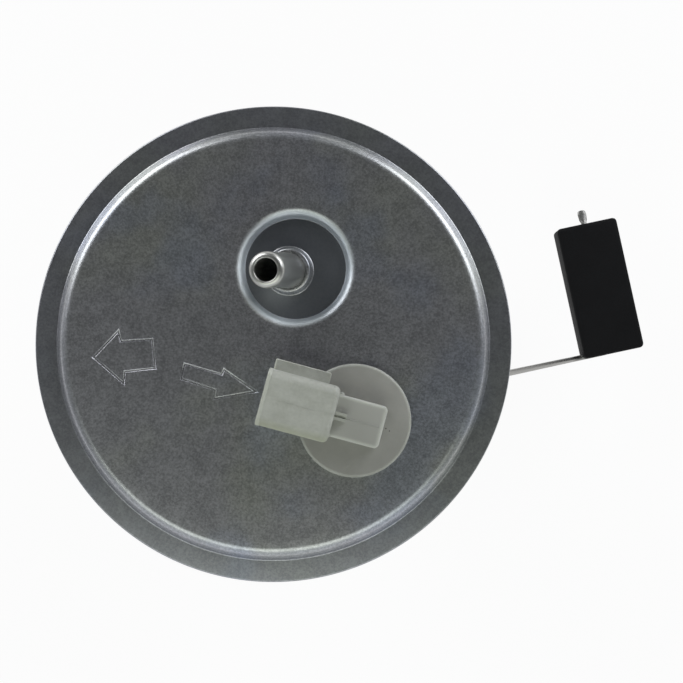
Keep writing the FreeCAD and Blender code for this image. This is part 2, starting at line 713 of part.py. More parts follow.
def lower_cushion():
    """Rubber ring between the shelf and the foot of the pump."""
    body = ring(CUSHION_R, INLET_R + COLLAR_WALL, SHELF_TOP_Z, CASE_FOOT_Z, PUMP_U, PUMP_V)
    top = circles_at(body, CUSHION_R, CASE_FOOT_Z)
    return body.makeFillet(1.0, top)


# %% [markdown]
# Pump case, covers and impeller.

# %%
OUTLET_U = OUTLET.x
OUTLET_V = OUTLET.y
HUB_TOP_Z = COVER_TOP_Z + COVER_HUB_H
RELIEF_U = PUMP_U - RELIEF_OFFSET
RELIEF_SEAT_Z = COVER_BOTTOM_Z + COVER_T / 2
RELIEF_BALL_Z = RELIEF_SEAT_Z + math.sqrt(RELIEF_BALL_R ** 2 - RELIEF_HOLE_R ** 2) + RUN_GAP
BRUSH_TOP_Z = COMM_TOP_Z + RUN_GAP + BRUSH_L
POCKET_TOP_Z = HUB_TOP_Z - COVER_HUB_H
BRUSH_SIDES = (-1, 1)


def pump_case():
    """Drawn steel tube with its ends rolled in over the covers."""
    body = ring(CASE_R, CASE_BORE_R, CASE_BOTTOM_Z, CASE_TOP_Z, PUMP_U, PUMP_V)
    lip_r = CASE_BORE_R - CASE_LIP
    lips = [ring(CASE_R, lip_r, CASE_BOTTOM_Z, CASE_BOTTOM_Z + CASE_WALL, PUMP_U, PUMP_V),
            ring(CASE_R, lip_r, CASE_TOP_Z - CASE_WALL, CASE_TOP_Z, PUMP_U, PUMP_V)]
    body = joined([body] + lips)
    rims = circles_at(body, CASE_R, CASE_BOTTOM_Z) + circles_at(body, CASE_R, CASE_TOP_Z)
    return body.makeFillet(CASE_WALL * 0.9, rims)


def brush_block(side, z0, z1, slack=0.0):
    """Rectangular post over the commutator."""
    middle = PUMP_U + side * BRUSH_OFFSET
    return block(middle - BRUSH_D / 2 - slack, middle + BRUSH_D / 2 + slack,
                 PUMP_V - BRUSH_W / 2 - slack, PUMP_V + BRUSH_W / 2 + slack, z0, z1)


def terminal_post(side):
    """Flat terminal of the pump."""
    middle = PUMP_U + side * COVER_HUB_R * 0.45
    back = PUMP_V - COVER_HUB_R * 0.6
    return block(middle - BLADE_W * 0.8, middle + BLADE_W * 0.8, back - BLADE_T / 2, back + BLADE_T / 2,
                 COVER_BOTTOM_Z + COVER_T / 2, HUB_TOP_Z + COVER_T)


def pump_outlet_cover():
    """Moulded cover with nipple, valve bores, brush pockets and bearing seat."""
    disc = cyl(CASE_BORE_R, COVER_BOTTOM_Z, COVER_TOP_Z, PUMP_U, PUMP_V)
    hub = cyl(COVER_HUB_R, COVER_TOP_Z, HUB_TOP_Z, PUMP_U, PUMP_V)
    nipple = cyl(TUBE_NECK_R, HUB_TOP_Z, NIPPLE_TOP_Z, OUTLET_U, OUTLET_V)
    barrier = block(PUMP_U - BLADE_T, PUMP_U + BLADE_T, PUMP_V - COVER_HUB_R * 0.9,
                    PUMP_V - COVER_HUB_R * 0.3, HUB_TOP_Z, HUB_TOP_Z + COVER_HUB_H)
    body = joined([disc, hub, nipple, barrier])
    body = body.cut(cyl(NIPPLE_BORE_R, COVER_BOTTOM_Z, NIPPLE_TOP_Z, OUTLET_U, OUTLET_V))
    body = body.cut(cyl(RELIEF_BORE_R, RELIEF_SEAT_Z, HUB_TOP_Z, RELIEF_U, PUMP_V))
    body = body.cut(cyl(RELIEF_HOLE_R, COVER_BOTTOM_Z, RELIEF_SEAT_Z, RELIEF_U, PUMP_V))
    body = body.cut(cyl(BEARING_R, COVER_BOTTOM_Z, COVER_BOTTOM_Z + BEARING_L, PUMP_U, PUMP_V))
    body = body.cut(cyl(SHAFT_R + SOFT_GAP, COVER_BOTTOM_Z, COVER_BOTTOM_Z + BEARING_L + SOFT_GAP * 3,
                        PUMP_U, PUMP_V))
    for side in BRUSH_SIDES:
        body = body.cut(brush_block(side, COVER_BOTTOM_Z, POCKET_TOP_Z, RUN_GAP))
        body = body.cut(terminal_post(side))
        for over, along in CORE_HOLE_SHARES:
            body = body.cut(cyl(CORE_HOLE_R, COVER_BOTTOM_Z, HUB_TOP_Z - CORE_ROOF,
                                PUMP_U + side * COVER_HUB_R * over, PUMP_V + COVER_HUB_R * along))
    return body


def pump_terminals():
    """Two flat terminals in the outlet cover."""
    return group([terminal_post(side) for side in BRUSH_SIDES])


def pump_inlet_cover():
    """Lower cover with the inlet spigot."""
    disc = cyl(CASE_BORE_R, CASE_BOTTOM_Z + CASE_WALL, INLET_TOP_Z, PUMP_U, PUMP_V)
    boss = cyl(INLET_BOSS_R, CASE_FOOT_Z, CASE_BOTTOM_Z + CASE_WALL, PUMP_U, PUMP_V)
    spigot = cyl(INLET_R, INLET_END_Z, CASE_FOOT_Z, PUMP_U, PUMP_V)
    body = joined([disc, boss, spigot])
    body = body.makeChamfer(INLET_R / 8, circles_at(body, INLET_R, INLET_END_Z))
    well = cyl(INLET_BORE_R, INLET_END_Z, INLET_TOP_Z - COVER_LOW_T / 2, PUMP_U, PUMP_V)
    port = cyl(INLET_BORE_R * 0.4, INLET_TOP_Z - COVER_LOW_T, INLET_TOP_Z,
               PUMP_U + INLET_BORE_R / 2, PUMP_V)
    return body.cut(well).cut(port)


def pump_upper_plate():
    """Plate over the impeller with the lower bearing's seat and the outlet port."""
    body = cyl(CASE_BORE_R, INLET_TOP_Z, UPPER_PLATE_Z1, PUMP_U, PUMP_V)
    room = cyl(IMPELLER_R + IMPELLER_GAP, INLET_TOP_Z, IMPELLER_Z1 + IMPELLER_GAP, PUMP_U, PUMP_V)
    seat = cyl(BEARING_R, UPPER_PLATE_Z1 - BEARING_L, UPPER_PLATE_Z1, PUMP_U, PUMP_V)
    hole = cyl(SHAFT_R + SOFT_GAP, IMPELLER_Z1, UPPER_PLATE_Z1, PUMP_U, PUMP_V)
    port = cyl(INLET_BORE_R / 2, IMPELLER_Z1, UPPER_PLATE_Z1, PUMP_U - IMPELLER_R * 0.8, PUMP_V)
    return body.cut(room).cut(seat).cut(hole).cut(port)


def impeller():
    """Disc with vane pockets cut round both faces of its rim."""
    body = ring(IMPELLER_R, SHAFT_R, IMPELLER_Z0, IMPELLER_Z1, PUMP_U, PUMP_V)
    width = math.pi * IMPELLER_R / IMPELLER_VANES
    pockets = []
    for step in range(IMPELLER_VANES):
        pocket = block(PUMP_U + IMPELLER_R - IMPELLER_T, PUMP_U + IMPELLER_R + 1,
                       PUMP_V - width / 2, PUMP_V + width / 2, IMPELLER_Z0, IMPELLER_Z1)
        web = block(PUMP_U + IMPELLER_R - IMPELLER_T, PUMP_U + IMPELLER_R + 1,
                    PUMP_V - width / 2, PUMP_V + width / 2,
                    IMPELLER_Z0 + IMPELLER_T * 0.35, IMPELLER_Z1 - IMPELLER_T * 0.35)
        pocket = pocket.cut(web)
        pocket.rotate(V(PUMP_U, PUMP_V, 0), UP, step * FULL_TURN / IMPELLER_VANES)
        pockets.append(pocket)
    return body.cut(Part.makeCompound(pockets))


# %% [markdown]
# Motor: magnets in the case, brushes in the cover and the wound rotor between two bearings.

# %%
def pump_ring(outer, inner, z0, z1):
    """Ring on the pump's axis."""
    return ring(outer, inner, z0, z1, PUMP_U, PUMP_V)


def ring_sector(outer, inner, z0, z1, middle, span):
    """Part of a ring on the pump's axis, by the angle of its middle and its span."""
    half = math.radians(span / 2)
    start = V(inner * math.cos(-half), inner * math.sin(-half), z0)
    end = V(outer * math.cos(-half), outer * math.sin(-half), z0)
    profile = [start, end, end + UP * (z1 - z0), start + UP * (z1 - z0)]
    face = Part.Face(Part.makePolygon(profile + profile[:1]))
    solid = face.revolve(V(0, 0, 0), UP, span)
    solid.rotate(V(0, 0, 0), UP, middle)
    solid.translate(V(PUMP_U, PUMP_V, 0))
    return solid


def field_magnets():
    """Two curved magnets on the wall of the case."""
    z0 = CORE_BOTTOM_Z - MAGNET_OVERHANG
    z1 = CORE_TOP_Z + MAGNET_OVERHANG
    return group([ring_sector(CASE_BORE_R, CORE_R + MAGNET_GAP, z0, z1, turn, MAGNET_ARC)
                  for turn in (0, HALF_TURN)])


def magnet_clips():
    """Two spring strips that press the magnets apart."""
    z0 = CORE_BOTTOM_Z - MAGNET_OVERHANG
    z1 = CORE_TOP_Z + MAGNET_OVERHANG
    inner = CASE_BORE_R - CASE_WALL
    return group([ring_sector(CASE_BORE_R, inner, z0, z1, turn, HALF_TURN - MAGNET_ARC)
                  for turn in (HALF_TURN / 2, -HALF_TURN / 2)])


def brushes():
    """Two carbon brushes on the face of the commutator."""
    return group([brush_block(side, COMM_TOP_Z + RUN_GAP, BRUSH_TOP_Z) for side in BRUSH_SIDES])


def brush_springs():
    """Two springs above the brushes."""
    return group([cyl(BRUSH_SPRING_R, BRUSH_TOP_Z, POCKET_TOP_Z, PUMP_U + side * BRUSH_OFFSET, PUMP_V)
                  for side in BRUSH_SIDES])


def upper_bearing():
    """Sintered bush in the outlet cover."""
    return pump_ring(BEARING_R, SHAFT_R + RUN_GAP, COVER_BOTTOM_Z, COVER_BOTTOM_Z + BEARING_L)


def lower_bearing():
    """Sintered bush in the upper plate."""
    return pump_ring(BEARING_R, SHAFT_R + RUN_GAP, UPPER_PLATE_Z1 - BEARING_L, UPPER_PLATE_Z1)


def rotor_shaft():
    """Ground steel shaft."""
    top = COVER_BOTTOM_Z + BEARING_L + SOFT_GAP
    return cyl(SHAFT_R, IMPELLER_Z0, top, PUMP_U, PUMP_V)


def winding_slots(z0, z1):
    """Solids that fill the slots of the core."""
    bars = []
    for step in range(CORE_SLOTS):
        bar = block(PUMP_U + CORE_R - SLOT_DEPTH, PUMP_U + CORE_R - WIRE_R,
                    PUMP_V - SLOT_W / 2, PUMP_V + SLOT_W / 2, z0, z1)
        bar.rotate(V(PUMP_U, PUMP_V, 0), UP, step * FULL_TURN / CORE_SLOTS)
        bars.append(bar)
    return bars


def armature_core():
    """Stack of slotted laminations."""
    body = pump_ring(CORE_R, SHAFT_R, CORE_BOTTOM_Z, CORE_TOP_Z)
    slots = winding_slots(CORE_BOTTOM_Z, CORE_TOP_Z)
    for step in range(CORE_SLOTS):
        mouth = block(PUMP_U + CORE_R - WIRE_R * 2, PUMP_U + CORE_R + WIRE_R,
                      PUMP_V - SLOT_W / 6, PUMP_V + SLOT_W / 6, CORE_BOTTOM_Z, CORE_TOP_Z)
        mouth.rotate(V(PUMP_U, PUMP_V, 0), UP, step * FULL_TURN / CORE_SLOTS)
        slots.append(mouth)
    return body.cut(Part.makeCompound(slots))


def armature_windings():
    """Copper coils: bars in the slots and end turns over both faces of the core."""
    inner = CORE_R - SLOT_DEPTH
    outer = CORE_R - WIRE_R
    top = pump_ring(outer, inner, CORE_TOP_Z, CORE_TOP_Z + WINDING_END)
    low = pump_ring(outer, inner, CORE_BOTTOM_Z - WINDING_END, CORE_BOTTOM_Z)
    top = top.makeFillet(WINDING_END / 3, circles_at(top, outer, CORE_TOP_Z + WINDING_END))
    low = low.makeFillet(WINDING_END / 3, circles_at(low, outer, CORE_BOTTOM_Z - WINDING_END))
    return joined([top, low] + winding_slots(CORE_BOTTOM_Z, CORE_TOP_Z))


def commutator():
    """Flat commutator with radial slits."""
    body = pump_ring(COMM_R, SHAFT_R, COMM_Z0, COMM_TOP_Z)
    for step in range(CORE_SLOTS):
        slit = block(PUMP_U + SHAFT_R * 1.6, PUMP_U + COMM_R + 1, PUMP_V - BLADE_T / 4,
                     PUMP_V + BLADE_T / 4, COMM_TOP_Z - BLADE_T, COMM_TOP_Z)
        slit.rotate(V(PUMP_U, PUMP_V, 0), UP, (step + 0.5) * FULL_TURN / CORE_SLOTS)
        body = body.cut(slit)
    return body


# %% [markdown]
# Check valve in the nipple and relief valve in the cover.

# %%
SEAT_TOP_Z = SEAT_Z + SEAT_T
POPPET_Z = SEAT_TOP_Z + RUN_GAP
POPPET_TOP_Z = POPPET_Z + POPPET_T
STOP_Z = NIPPLE_TOP_Z - STOP_T


def check_valve_seat():
    """Seat ring pressed in the nipple."""
    return ring(NIPPLE_BORE_R, SEAT_HOLE_R, SEAT_Z, SEAT_TOP_Z, OUTLET_U, OUTLET_V)


def check_valve_poppet():
    """Poppet with a guide stem through the seat."""
    disc = cyl(POPPET_R, POPPET_Z, POPPET_TOP_Z, OUTLET_U, OUTLET_V)
    stem = cyl(POPPET_STEM_R, SEAT_Z, POPPET_Z, OUTLET_U, OUTLET_V)
    spigot = cyl(POPPET_STEM_R, POPPET_TOP_Z, POPPET_TOP_Z + POPPET_T, OUTLET_U, OUTLET_V)
    return joined([disc, stem, spigot])


def check_valve_spring():
    """Spring between poppet and stop, as its outer shape."""
    return ring(POPPET_R, POPPET_STEM_R * 2, POPPET_TOP_Z, STOP_Z, OUTLET_U, OUTLET_V)


def check_valve_stop():
    """Ring at the top of the nipple that holds the spring."""
    return ring(NIPPLE_BORE_R, STOP_HOLE_R, STOP_Z, NIPPLE_TOP_Z, OUTLET_U, OUTLET_V)


def relief_ball():
    """Ball on the relief seat."""
    return Part.makeSphere(RELIEF_BALL_R, V(RELIEF_U, PUMP_V, RELIEF_BALL_Z))


def relief_spring():
    """Spring between ball and cap, as its outer shape."""
    z0 = RELIEF_BALL_Z + RELIEF_BALL_R
    return ring(RELIEF_BALL_R, RELIEF_HOLE_R, z0, HUB_TOP_Z - RELIEF_CAP_T, RELIEF_U, PUMP_V)


def relief_cap():
    """Drilled plug that holds the relief spring."""
    return ring(RELIEF_BORE_R, RELIEF_HOLE_R * 0.6, HUB_TOP_Z - RELIEF_CAP_T, HUB_TOP_Z,
                RELIEF_U, PUMP_V)


# %% [markdown]
# Hose between tube and pump, and the strainer under the inlet.

# %%
HOSE_Z0 = NIPPLE_TOP_Z - HOSE_OVERLAP
HOSE_Z1 = TUBE_END_Z + HOSE_OVERLAP


def coupling_hose():
    """Short straight hose from the tube to the pump's nipple."""
    return ring(HOSE_R, TUBE_NECK_R, HOSE_Z0, HOSE_Z1, OUTLET_U, OUTLET_V)


def hose_clamps():
    """Two steel bands with pinched ears."""
    solids = []
    for middle in (HOSE_Z0 + HOSE_OVERLAP / 2, HOSE_Z1 - HOSE_OVERLAP / 2):
        z0 = middle - HOSE_CLAMP_W / 2
        z1 = middle + HOSE_CLAMP_W / 2
        band = cyl(HOSE_R + HOSE_CLAMP_T, z0, z1, OUTLET_U, OUTLET_V)
        ear = block(OUTLET_U - HOSE_WALL, OUTLET_U + HOSE_WALL, OUTLET_V,
                    OUTLET_V + HOSE_R + HOSE_CLAMP_T + HOSE_WALL, z0, z1)
        ear = ear.makeFillet(HOSE_WALL / 2, edges_along(ear, UP, OUTLET_V + 1, FLANGE_R, V(0, 1, 0)))
        solids.append(joined([band, ear]).cut(cyl(HOSE_R, z0, z1, OUTLET_U, OUTLET_V)))
    return group(solids)


def strainer_bag():
    """Closed outer shape of the woven filter bag."""
    u0 = PUMP_U + BAG_SHIFT_U - BAG_LENGTH / 2
    v0 = PUMP_V - BAG_WIDTH / 2
    body = block(u0, u0 + BAG_LENGTH, v0, v0 + BAG_WIDTH, BAG_TOP_Z - BAG_T, BAG_TOP_Z)
    body = body.makeFillet(BAG_CORNER_R, edges_along(body, UP))
    rims = [edge for edge in body.Edges if edge.BoundBox.ZLength < 1e-6]
    return body.makeFillet(BAG_EDGE_FILLET, rims)


def strainer_collar():
    """Plastic collar and plate that carry the bag on the inlet."""
    plate = pump_ring(STRAINER_PLATE_R, INLET_R, BAG_TOP_Z, BAG_TOP_Z + STRAINER_PLATE_T)
    plate_top = BAG_TOP_Z + STRAINER_PLATE_T
    sleeve = pump_ring(INLET_R + COLLAR_WALL, INLET_R, plate_top, plate_top + STRAINER_COLLAR_H)
    return joined([plate, sleeve])


def strainer_retainer():
    """Push-on ring above the collar, inside the hole of the shelf."""
    z0 = BAG_TOP_Z + STRAINER_PLATE_T + STRAINER_COLLAR_H
    return pump_ring(INLET_R + COLLAR_WALL, INLET_R, z0, z0 + PUSH_NUT_T)


# %% [markdown]
# Level sender on the strap: housing with pivot and stops, resistor card, rivets and terminals.

# %%
SENDER_Z0 = SENDER_TOP_Z - SENDER_H
PIVOT_END_V = HUB_OUT_V - PIVOT_REACH + HUB_W
ARM_ANGLE = math.degrees(math.atan2(WIRE_KNEE_Z - PIVOT_Z, WIRE_KNEE_U - PIVOT_U))
RIVET_R = 1.6
UPPER_RIVET_REACH = 13.1
UPPER_RIVET_TURN = 107.7
LOWER_RIVET_REACH = 11.0
LOWER_RIVET_TURN = 275.0
RIVET_HEAD_R = 2.8
RIVET_HEAD_H = 0.9
RIVET_SPOTS = ((UPPER_RIVET_REACH, UPPER_RIVET_TURN), (LOWER_RIVET_REACH, LOWER_RIVET_TURN))
RIVET_PLACES = [(PIVOT_U + reach * math.cos(math.radians(turn)),
                 PIVOT_Z + reach * math.sin(math.radians(turn))) for reach, turn in RIVET_SPOTS]


def swung(shape, degrees):
    """Turn a piece about the arm's pivot, upwards for a positive angle."""
    turned = shape.copy()
    turned.rotate(V(PIVOT_U, ARM_V, PIVOT_Z), V(0, -1, 0), degrees)
    return turned


def stop_lug(side):
    """Lug beside the lever, below it for side -1 and above it for side 1."""
    near = LEVER_H / 2 + SOFT_GAP
    far = near + LEVER_H / 2
    z_low, z_high = sorted((side * near, side * far))
    lug = block(PIVOT_U + HUB_R + SOFT_GAP, PIVOT_U + HUB_R + LEVER_H, HUB_IN_V - HUB_W / 2,
                SENDER_OUT_V, PIVOT_Z + z_low, PIVOT_Z + z_high)
    return swung(lug, ARM_ANGLE if side < 0 else ARM_ANGLE + ARM_TRAVEL)


def card_box():
    """Room of the resistor card under the wipers."""
    middle_z = PIVOT_Z
    u1 = PIVOT_U - WIPER_RADIUS + CARD_W * 0.75
    return block(u1 - CARD_W, u1, SENDER_OUT_V, SENDER_OUT_V + CARD_T,
                 middle_z - CARD_H / 2, middle_z + CARD_H / 2)


def sender_housing():
    """Moulded body with pivot, two stop lugs, a seat for the card and a hollow back."""
    body = block(SENDER_U0, SENDER_U1, SENDER_OUT_V, SENDER_IN_V, SENDER_Z0, SENDER_TOP_Z)
    body = body.makeFillet(HUB_W, edges_along(body, V(0, 1, 0), PIVOT_U, SENDER_U1 + 1, V(1, 0, 0)))
    pivot = across(PIVOT_R, PIVOT_U, PIVOT_Z, PIVOT_END_V, SENDER_OUT_V)
    body = joined([body, pivot, stop_lug(-1), stop_lug(1)])
    back = block(SENDER_U0 + HUB_W / 2, PIVOT_U - HUB_R, SENDER_OUT_V + CARD_T * 2, SENDER_IN_V,
                 SENDER_Z0 + HUB_W / 2, PIVOT_Z + HUB_R)
    body = body.cut(back).cut(card_box())
    for u, z in RIVET_PLACES:
        body = body.cut(across(RIVET_R, u, z, SENDER_OUT_V, SENDER_IN_V))
    for place in sender_tabs():
        body = body.cut(place)
    return body


def resistor_card():
    """Ceramic card with its tracks towards the wipers."""
    return card_box()


def sender_rivets():
    """Two rivets through housing and strap."""
    solids = []
    for u, z in RIVET_PLACES:
        shank = across(RIVET_R, u, z, SENDER_OUT_V, STRAP_IN_V)
        outer = across(RIVET_HEAD_R, u, z, SENDER_OUT_V - RIVET_HEAD_H, SENDER_OUT_V)
        inner = across(RIVET_HEAD_R, u, z, STRAP_IN_V, STRAP_IN_V + RIVET_HEAD_H)
        solids.append(joined([shank, outer, inner]))
    return group(solids)


def sender_tabs():
    """Two flat tabs in the top of the housing."""
    middle_v = (SENDER_IN_V + SENDER_OUT_V) / 2
    tabs = []
    for u in (SENDER_U0 + BLADE_W, SENDER_U0 + BLADE_W + BLADE_PITCH_Y):
        tabs.append(block(u - BLADE_W / 2, u + BLADE_W / 2, middle_v - BLADE_T / 2, middle_v + BLADE_T / 2,
                          SENDER_TOP_Z - BLADE_PITCH_Y, SENDER_TOP_Z + BLADE_PITCH_Y))
    return tabs


def sender_terminals():
    """Tabs for the sender's leads."""
    return group(sender_tabs())


def pivot_clip():
    """Push-on ring at the end of the pivot."""
    v1 = HUB_OUT_V - SOFT_GAP
    v0 = v1 - PUSH_NUT_T
    disc = across(PIVOT_R * 1.7, PIVOT_U, PIVOT_Z, v0, v1)
    return disc.cut(across(PIVOT_R, PIVOT_U, PIVOT_Z, v0, v1))


# %% [markdown]
# Float arm: hub with lever and wiper carrier, bent wire and the float that it is keyed in.

# %%
LEVER_END = HUB_R + LEVER_LENGTH
WIPER_TIP = WIPER_RADIUS + WIPER_W
CARRIER_V = HUB_IN_V - HUB_W / 3


def in_lever(distance):
    """Point on the wire's first run, by its distance from the pivot."""
    angle = math.radians(ARM_ANGLE)
    return V(PIVOT_U + distance * math.cos(angle), ARM_V, PIVOT_Z + distance * math.sin(angle))


WIRE_POINTS = [
    in_lever(WIRE_START),
    V(WIRE_KNEE_U, ARM_V, WIRE_KNEE_Z),
    V(WIRE_ANKLE_U, ARM_V, FLOAT_MID_Z),
    V(FLOAT_BORE_U, ARM_V, FLOAT_MID_Z),
    V(FLOAT_BORE_U, FLOAT_V1 + SOFT_GAP, FLOAT_MID_Z),
]
WIRE_RADII = [WIRE_BEND_R, WIRE_BEND_R, WIRE_R * 3]


def float_arm():
    """Bent steel wire, flattened where it leaves the float."""
    wire = rod(WIRE_POINTS, WIRE_RADII, WIRE_R)
    tip = block(FLOAT_BORE_U - WIRE_FLAT_W / 2, FLOAT_BORE_U + WIRE_FLAT_W / 2,
                FLOAT_V1 + SOFT_GAP, FLOAT_V1 + WIRE_FLAT_LENGTH,
                FLOAT_MID_Z - WIRE_FLAT_T / 2, FLOAT_MID_Z + WIRE_FLAT_T / 2)
    tip_v = FLOAT_V1 + WIRE_FLAT_LENGTH
    ends = edges_along(tip, UP, tip_v - SOFT_GAP, tip_v + SOFT_GAP, V(0, 1, 0))
    tip = tip.makeFillet(WIRE_FLAT_W * 0.3, ends)
    return joined([wire, tip])


def arm_hub():
    """Plastic hub that turns on the pivot, holds the wire and carries the wipers."""
    hub = across(HUB_R, PIVOT_U, PIVOT_Z, HUB_OUT_V, HUB_IN_V)
    lever = block(PIVOT_U, PIVOT_U + LEVER_END, HUB_OUT_V, HUB_IN_V,
                  PIVOT_Z - LEVER_H / 2, PIVOT_Z + LEVER_H / 2)
    lever = lever.makeFillet(HUB_W * 0.3, edges_along(lever, V(1, 0, 0)))
    carrier = block(PIVOT_U, PIVOT_U + WIPER_TIP, CARRIER_V, HUB_IN_V,
                    PIVOT_Z - WIPER_W, PIVOT_Z + WIPER_W)
    hub = joined([hub, swung(lever, ARM_ANGLE), swung(carrier, WIPER_ANGLE)])
    hub = hub.cut(across(PIVOT_R + RUN_GAP, PIVOT_U, PIVOT_Z, HUB_OUT_V, HUB_IN_V))
    return hub.cut(float_arm())


def wiper_contacts():
    """Two contact fingers between the carrier and the card."""
    fingers = []
    for side in (-1, 1):
        finger = block(PIVOT_U + WIPER_RADIUS - WIPER_W, PIVOT_U + WIPER_TIP,
                       HUB_IN_V, SENDER_OUT_V - WIPER_GAP,
                       PIVOT_Z + side * WIPER_W / 2 - WIPER_W / 4, PIVOT_Z + side * WIPER_W / 2 + WIPER_W / 4)
        fingers.append(swung(finger, WIPER_ANGLE))
    return group(fingers)


def float_block():
    """Closed-cell float with a bore and a slot across its end for the wire."""
    body = block(FLOAT_U0, FLOAT_U0 + FLOAT_WIDTH, FLOAT_V0, FLOAT_V1,
                 FLOAT_TOP_Z - FLOAT_H, FLOAT_TOP_Z)
    body = body.makeFillet(FLOAT_FILLET, body.Edges)
    return body.cut(rod(WIRE_POINTS, WIRE_RADII, WIRE_R + RUN_GAP))


# %% [markdown]
# Nodes. Those above the flange are built in place, and the rest are turned with the hanger.

# %%
FIXED_PIECES = {
    "flange_plate": flange_plate,
    "outlet_tube": outlet_tube,
    "tube_collar": tube_collar,
    "connector_housing": connector_housing,
    "connector_seal": connector_seal,
    "connector_retainer": connector_retainer,
    "terminal_blades": terminal_blades,
}
HANGING_PIECES = {
    "hanger_bracket": hanger_bracket,
    "pump_clamp": pump_clamp,
    "clamp_screws": clamp_screws,
    "pump_sleeve": pump_sleeve,
    "lower_cushion": lower_cushion,
    "pump_case": pump_case,
    "pump_outlet_cover": pump_outlet_cover,
    "pump_terminals": pump_terminals,
    "pump_inlet_cover": pump_inlet_cover,
    "pump_upper_plate": pump_upper_plate,
    "impeller": impeller,
    "field_magnets": field_magnets,
    "magnet_clips": magnet_clips,
    "brushes": brushes,
    "brush_springs": brush_springs,
    "upper_bearing": upper_bearing,
    "lower_bearing": lower_bearing,
    "rotor_shaft": rotor_shaft,
    "armature_core": armature_core,
    "armature_windings": armature_windings,
    "commutator": commutator,
    "check_valve_seat": check_valve_seat,
    "check_valve_poppet": check_valve_poppet,
    "check_valve_spring": check_valve_spring,
    "check_valve_stop": check_valve_stop,
    "relief_ball": relief_ball,
    "relief_spring": relief_spring,
    "relief_cap": relief_cap,
    "coupling_hose": coupling_hose,
    "hose_clamps": hose_clamps,
    "strainer_bag": strainer_bag,
    "strainer_collar": strainer_collar,
    "strainer_retainer": strainer_retainer,
    "sender_housing": sender_housing,
    "resistor_card": resistor_card,
    "sender_rivets": sender_rivets,
    "sender_terminals": sender_terminals,
    "pivot_clip": pivot_clip,
    "arm_hub": arm_hub,
    "wiper_contacts": wiper_contacts,
    "float_arm": float_arm,
    "float": float_block,
}

os.makedirs("parts", exist_ok=True)
for name, make in FIXED_PIECES.items():
    save(name, make())
for name, make in HANGING_PIECES.items():
    save(name, hang(make()))
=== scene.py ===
# %% [markdown]
# An in-tank fuel pump, seen from straight above.
# The measured model gives every size and place. This notebook adds the looks: the plated steel of the
# flange, the milky nylon of the connector, the wire arm and the black float, and all that hangs below.

# %% Load the measured model
import bpy
import bmesh
import json
import math
from mathutils import Matrix, Vector


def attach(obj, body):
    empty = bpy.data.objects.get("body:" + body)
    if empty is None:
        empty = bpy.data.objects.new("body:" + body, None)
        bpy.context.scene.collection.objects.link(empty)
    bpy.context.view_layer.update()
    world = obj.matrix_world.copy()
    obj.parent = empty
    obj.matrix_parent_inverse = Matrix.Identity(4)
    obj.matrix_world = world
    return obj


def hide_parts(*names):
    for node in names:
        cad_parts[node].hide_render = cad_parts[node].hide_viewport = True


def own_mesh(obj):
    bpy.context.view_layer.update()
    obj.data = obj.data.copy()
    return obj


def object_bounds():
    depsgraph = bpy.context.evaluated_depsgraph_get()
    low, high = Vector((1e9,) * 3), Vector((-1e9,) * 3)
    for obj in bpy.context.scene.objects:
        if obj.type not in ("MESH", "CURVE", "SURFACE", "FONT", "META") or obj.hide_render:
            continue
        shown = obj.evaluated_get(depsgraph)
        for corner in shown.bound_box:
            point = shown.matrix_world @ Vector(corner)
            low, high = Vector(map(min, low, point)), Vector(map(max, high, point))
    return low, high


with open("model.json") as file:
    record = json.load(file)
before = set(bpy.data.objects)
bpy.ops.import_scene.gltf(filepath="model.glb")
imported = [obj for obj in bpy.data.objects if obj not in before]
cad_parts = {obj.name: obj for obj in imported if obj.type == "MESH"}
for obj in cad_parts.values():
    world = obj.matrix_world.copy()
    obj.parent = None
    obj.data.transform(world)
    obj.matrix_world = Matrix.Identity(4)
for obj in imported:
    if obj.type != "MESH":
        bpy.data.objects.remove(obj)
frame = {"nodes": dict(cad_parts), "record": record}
CAD_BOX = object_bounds()
MM = 0.001
print("nodes in the measured model:", len(frame["nodes"]))

# %% [markdown]
# Main sizes. They repeat the measured model's own values, so that each modelled piece sits where the
# solid sits. Those in this cell are in metres, and the later cells give theirs in millimetres. The
# hanging pieces are built along U and V, turned 27 degrees from X and Y.

# %% Sizes of the flange and of what stands on it
PLATE_T = 1.5 * MM
RIM_TOP = PLATE_T
PLATEAU = 4.5 * MM
PLATEAU_UNDER = PLATEAU - PLATE_T
DIMPLE = Vector((0.6, 21.1, 0.0)) * MM
DIMPLE_FLOOR = 1.5 * MM
TUBE_FOOT = Vector((-1.0, 20.1, 2.6)) * MM
TUBE_LEAN = math.radians(11.6)
TUBE_LEAN_AZIMUTH = math.radians(216.5)
HANGER_TURN = math.radians(27.0)
PHOTO_TURN = math.radians(15.0)
UP = Vector((0, 0, 1))


def along(azimuth, tilt=math.pi / 2):
    """Unit vector by its azimuth and its angle from upright."""
    return Vector((math.sin(tilt) * math.cos(azimuth), math.sin(tilt) * math.sin(azimuth), math.cos(tilt)))


def from_photo(right, up, z=0.0):
    """A point given by how far it lies right of and above the flange's centre in the photo, in mm."""
    return (along(PHOTO_TURN) * right + along(PHOTO_TURN + math.pi / 2) * up + UP * z) * MM


def hung(u, v, z):
    """A point given along and across the float arm, in mm."""
    return (along(HANGER_TURN) * u + along(HANGER_TURN + math.pi / 2) * v + UP * z) * MM


TUBE_AXIS = along(TUBE_LEAN_AZIMUTH, TUBE_LEAN)
print("tube axis:", [round(c, 3) for c in TUBE_AXIS])

# %% [markdown]
# The camera looks straight down from 450 mm above the rim. Perspective tells its place: the tube and the
# connector lean away from the point below it. A tilt of two degrees keeps that point and the framing.

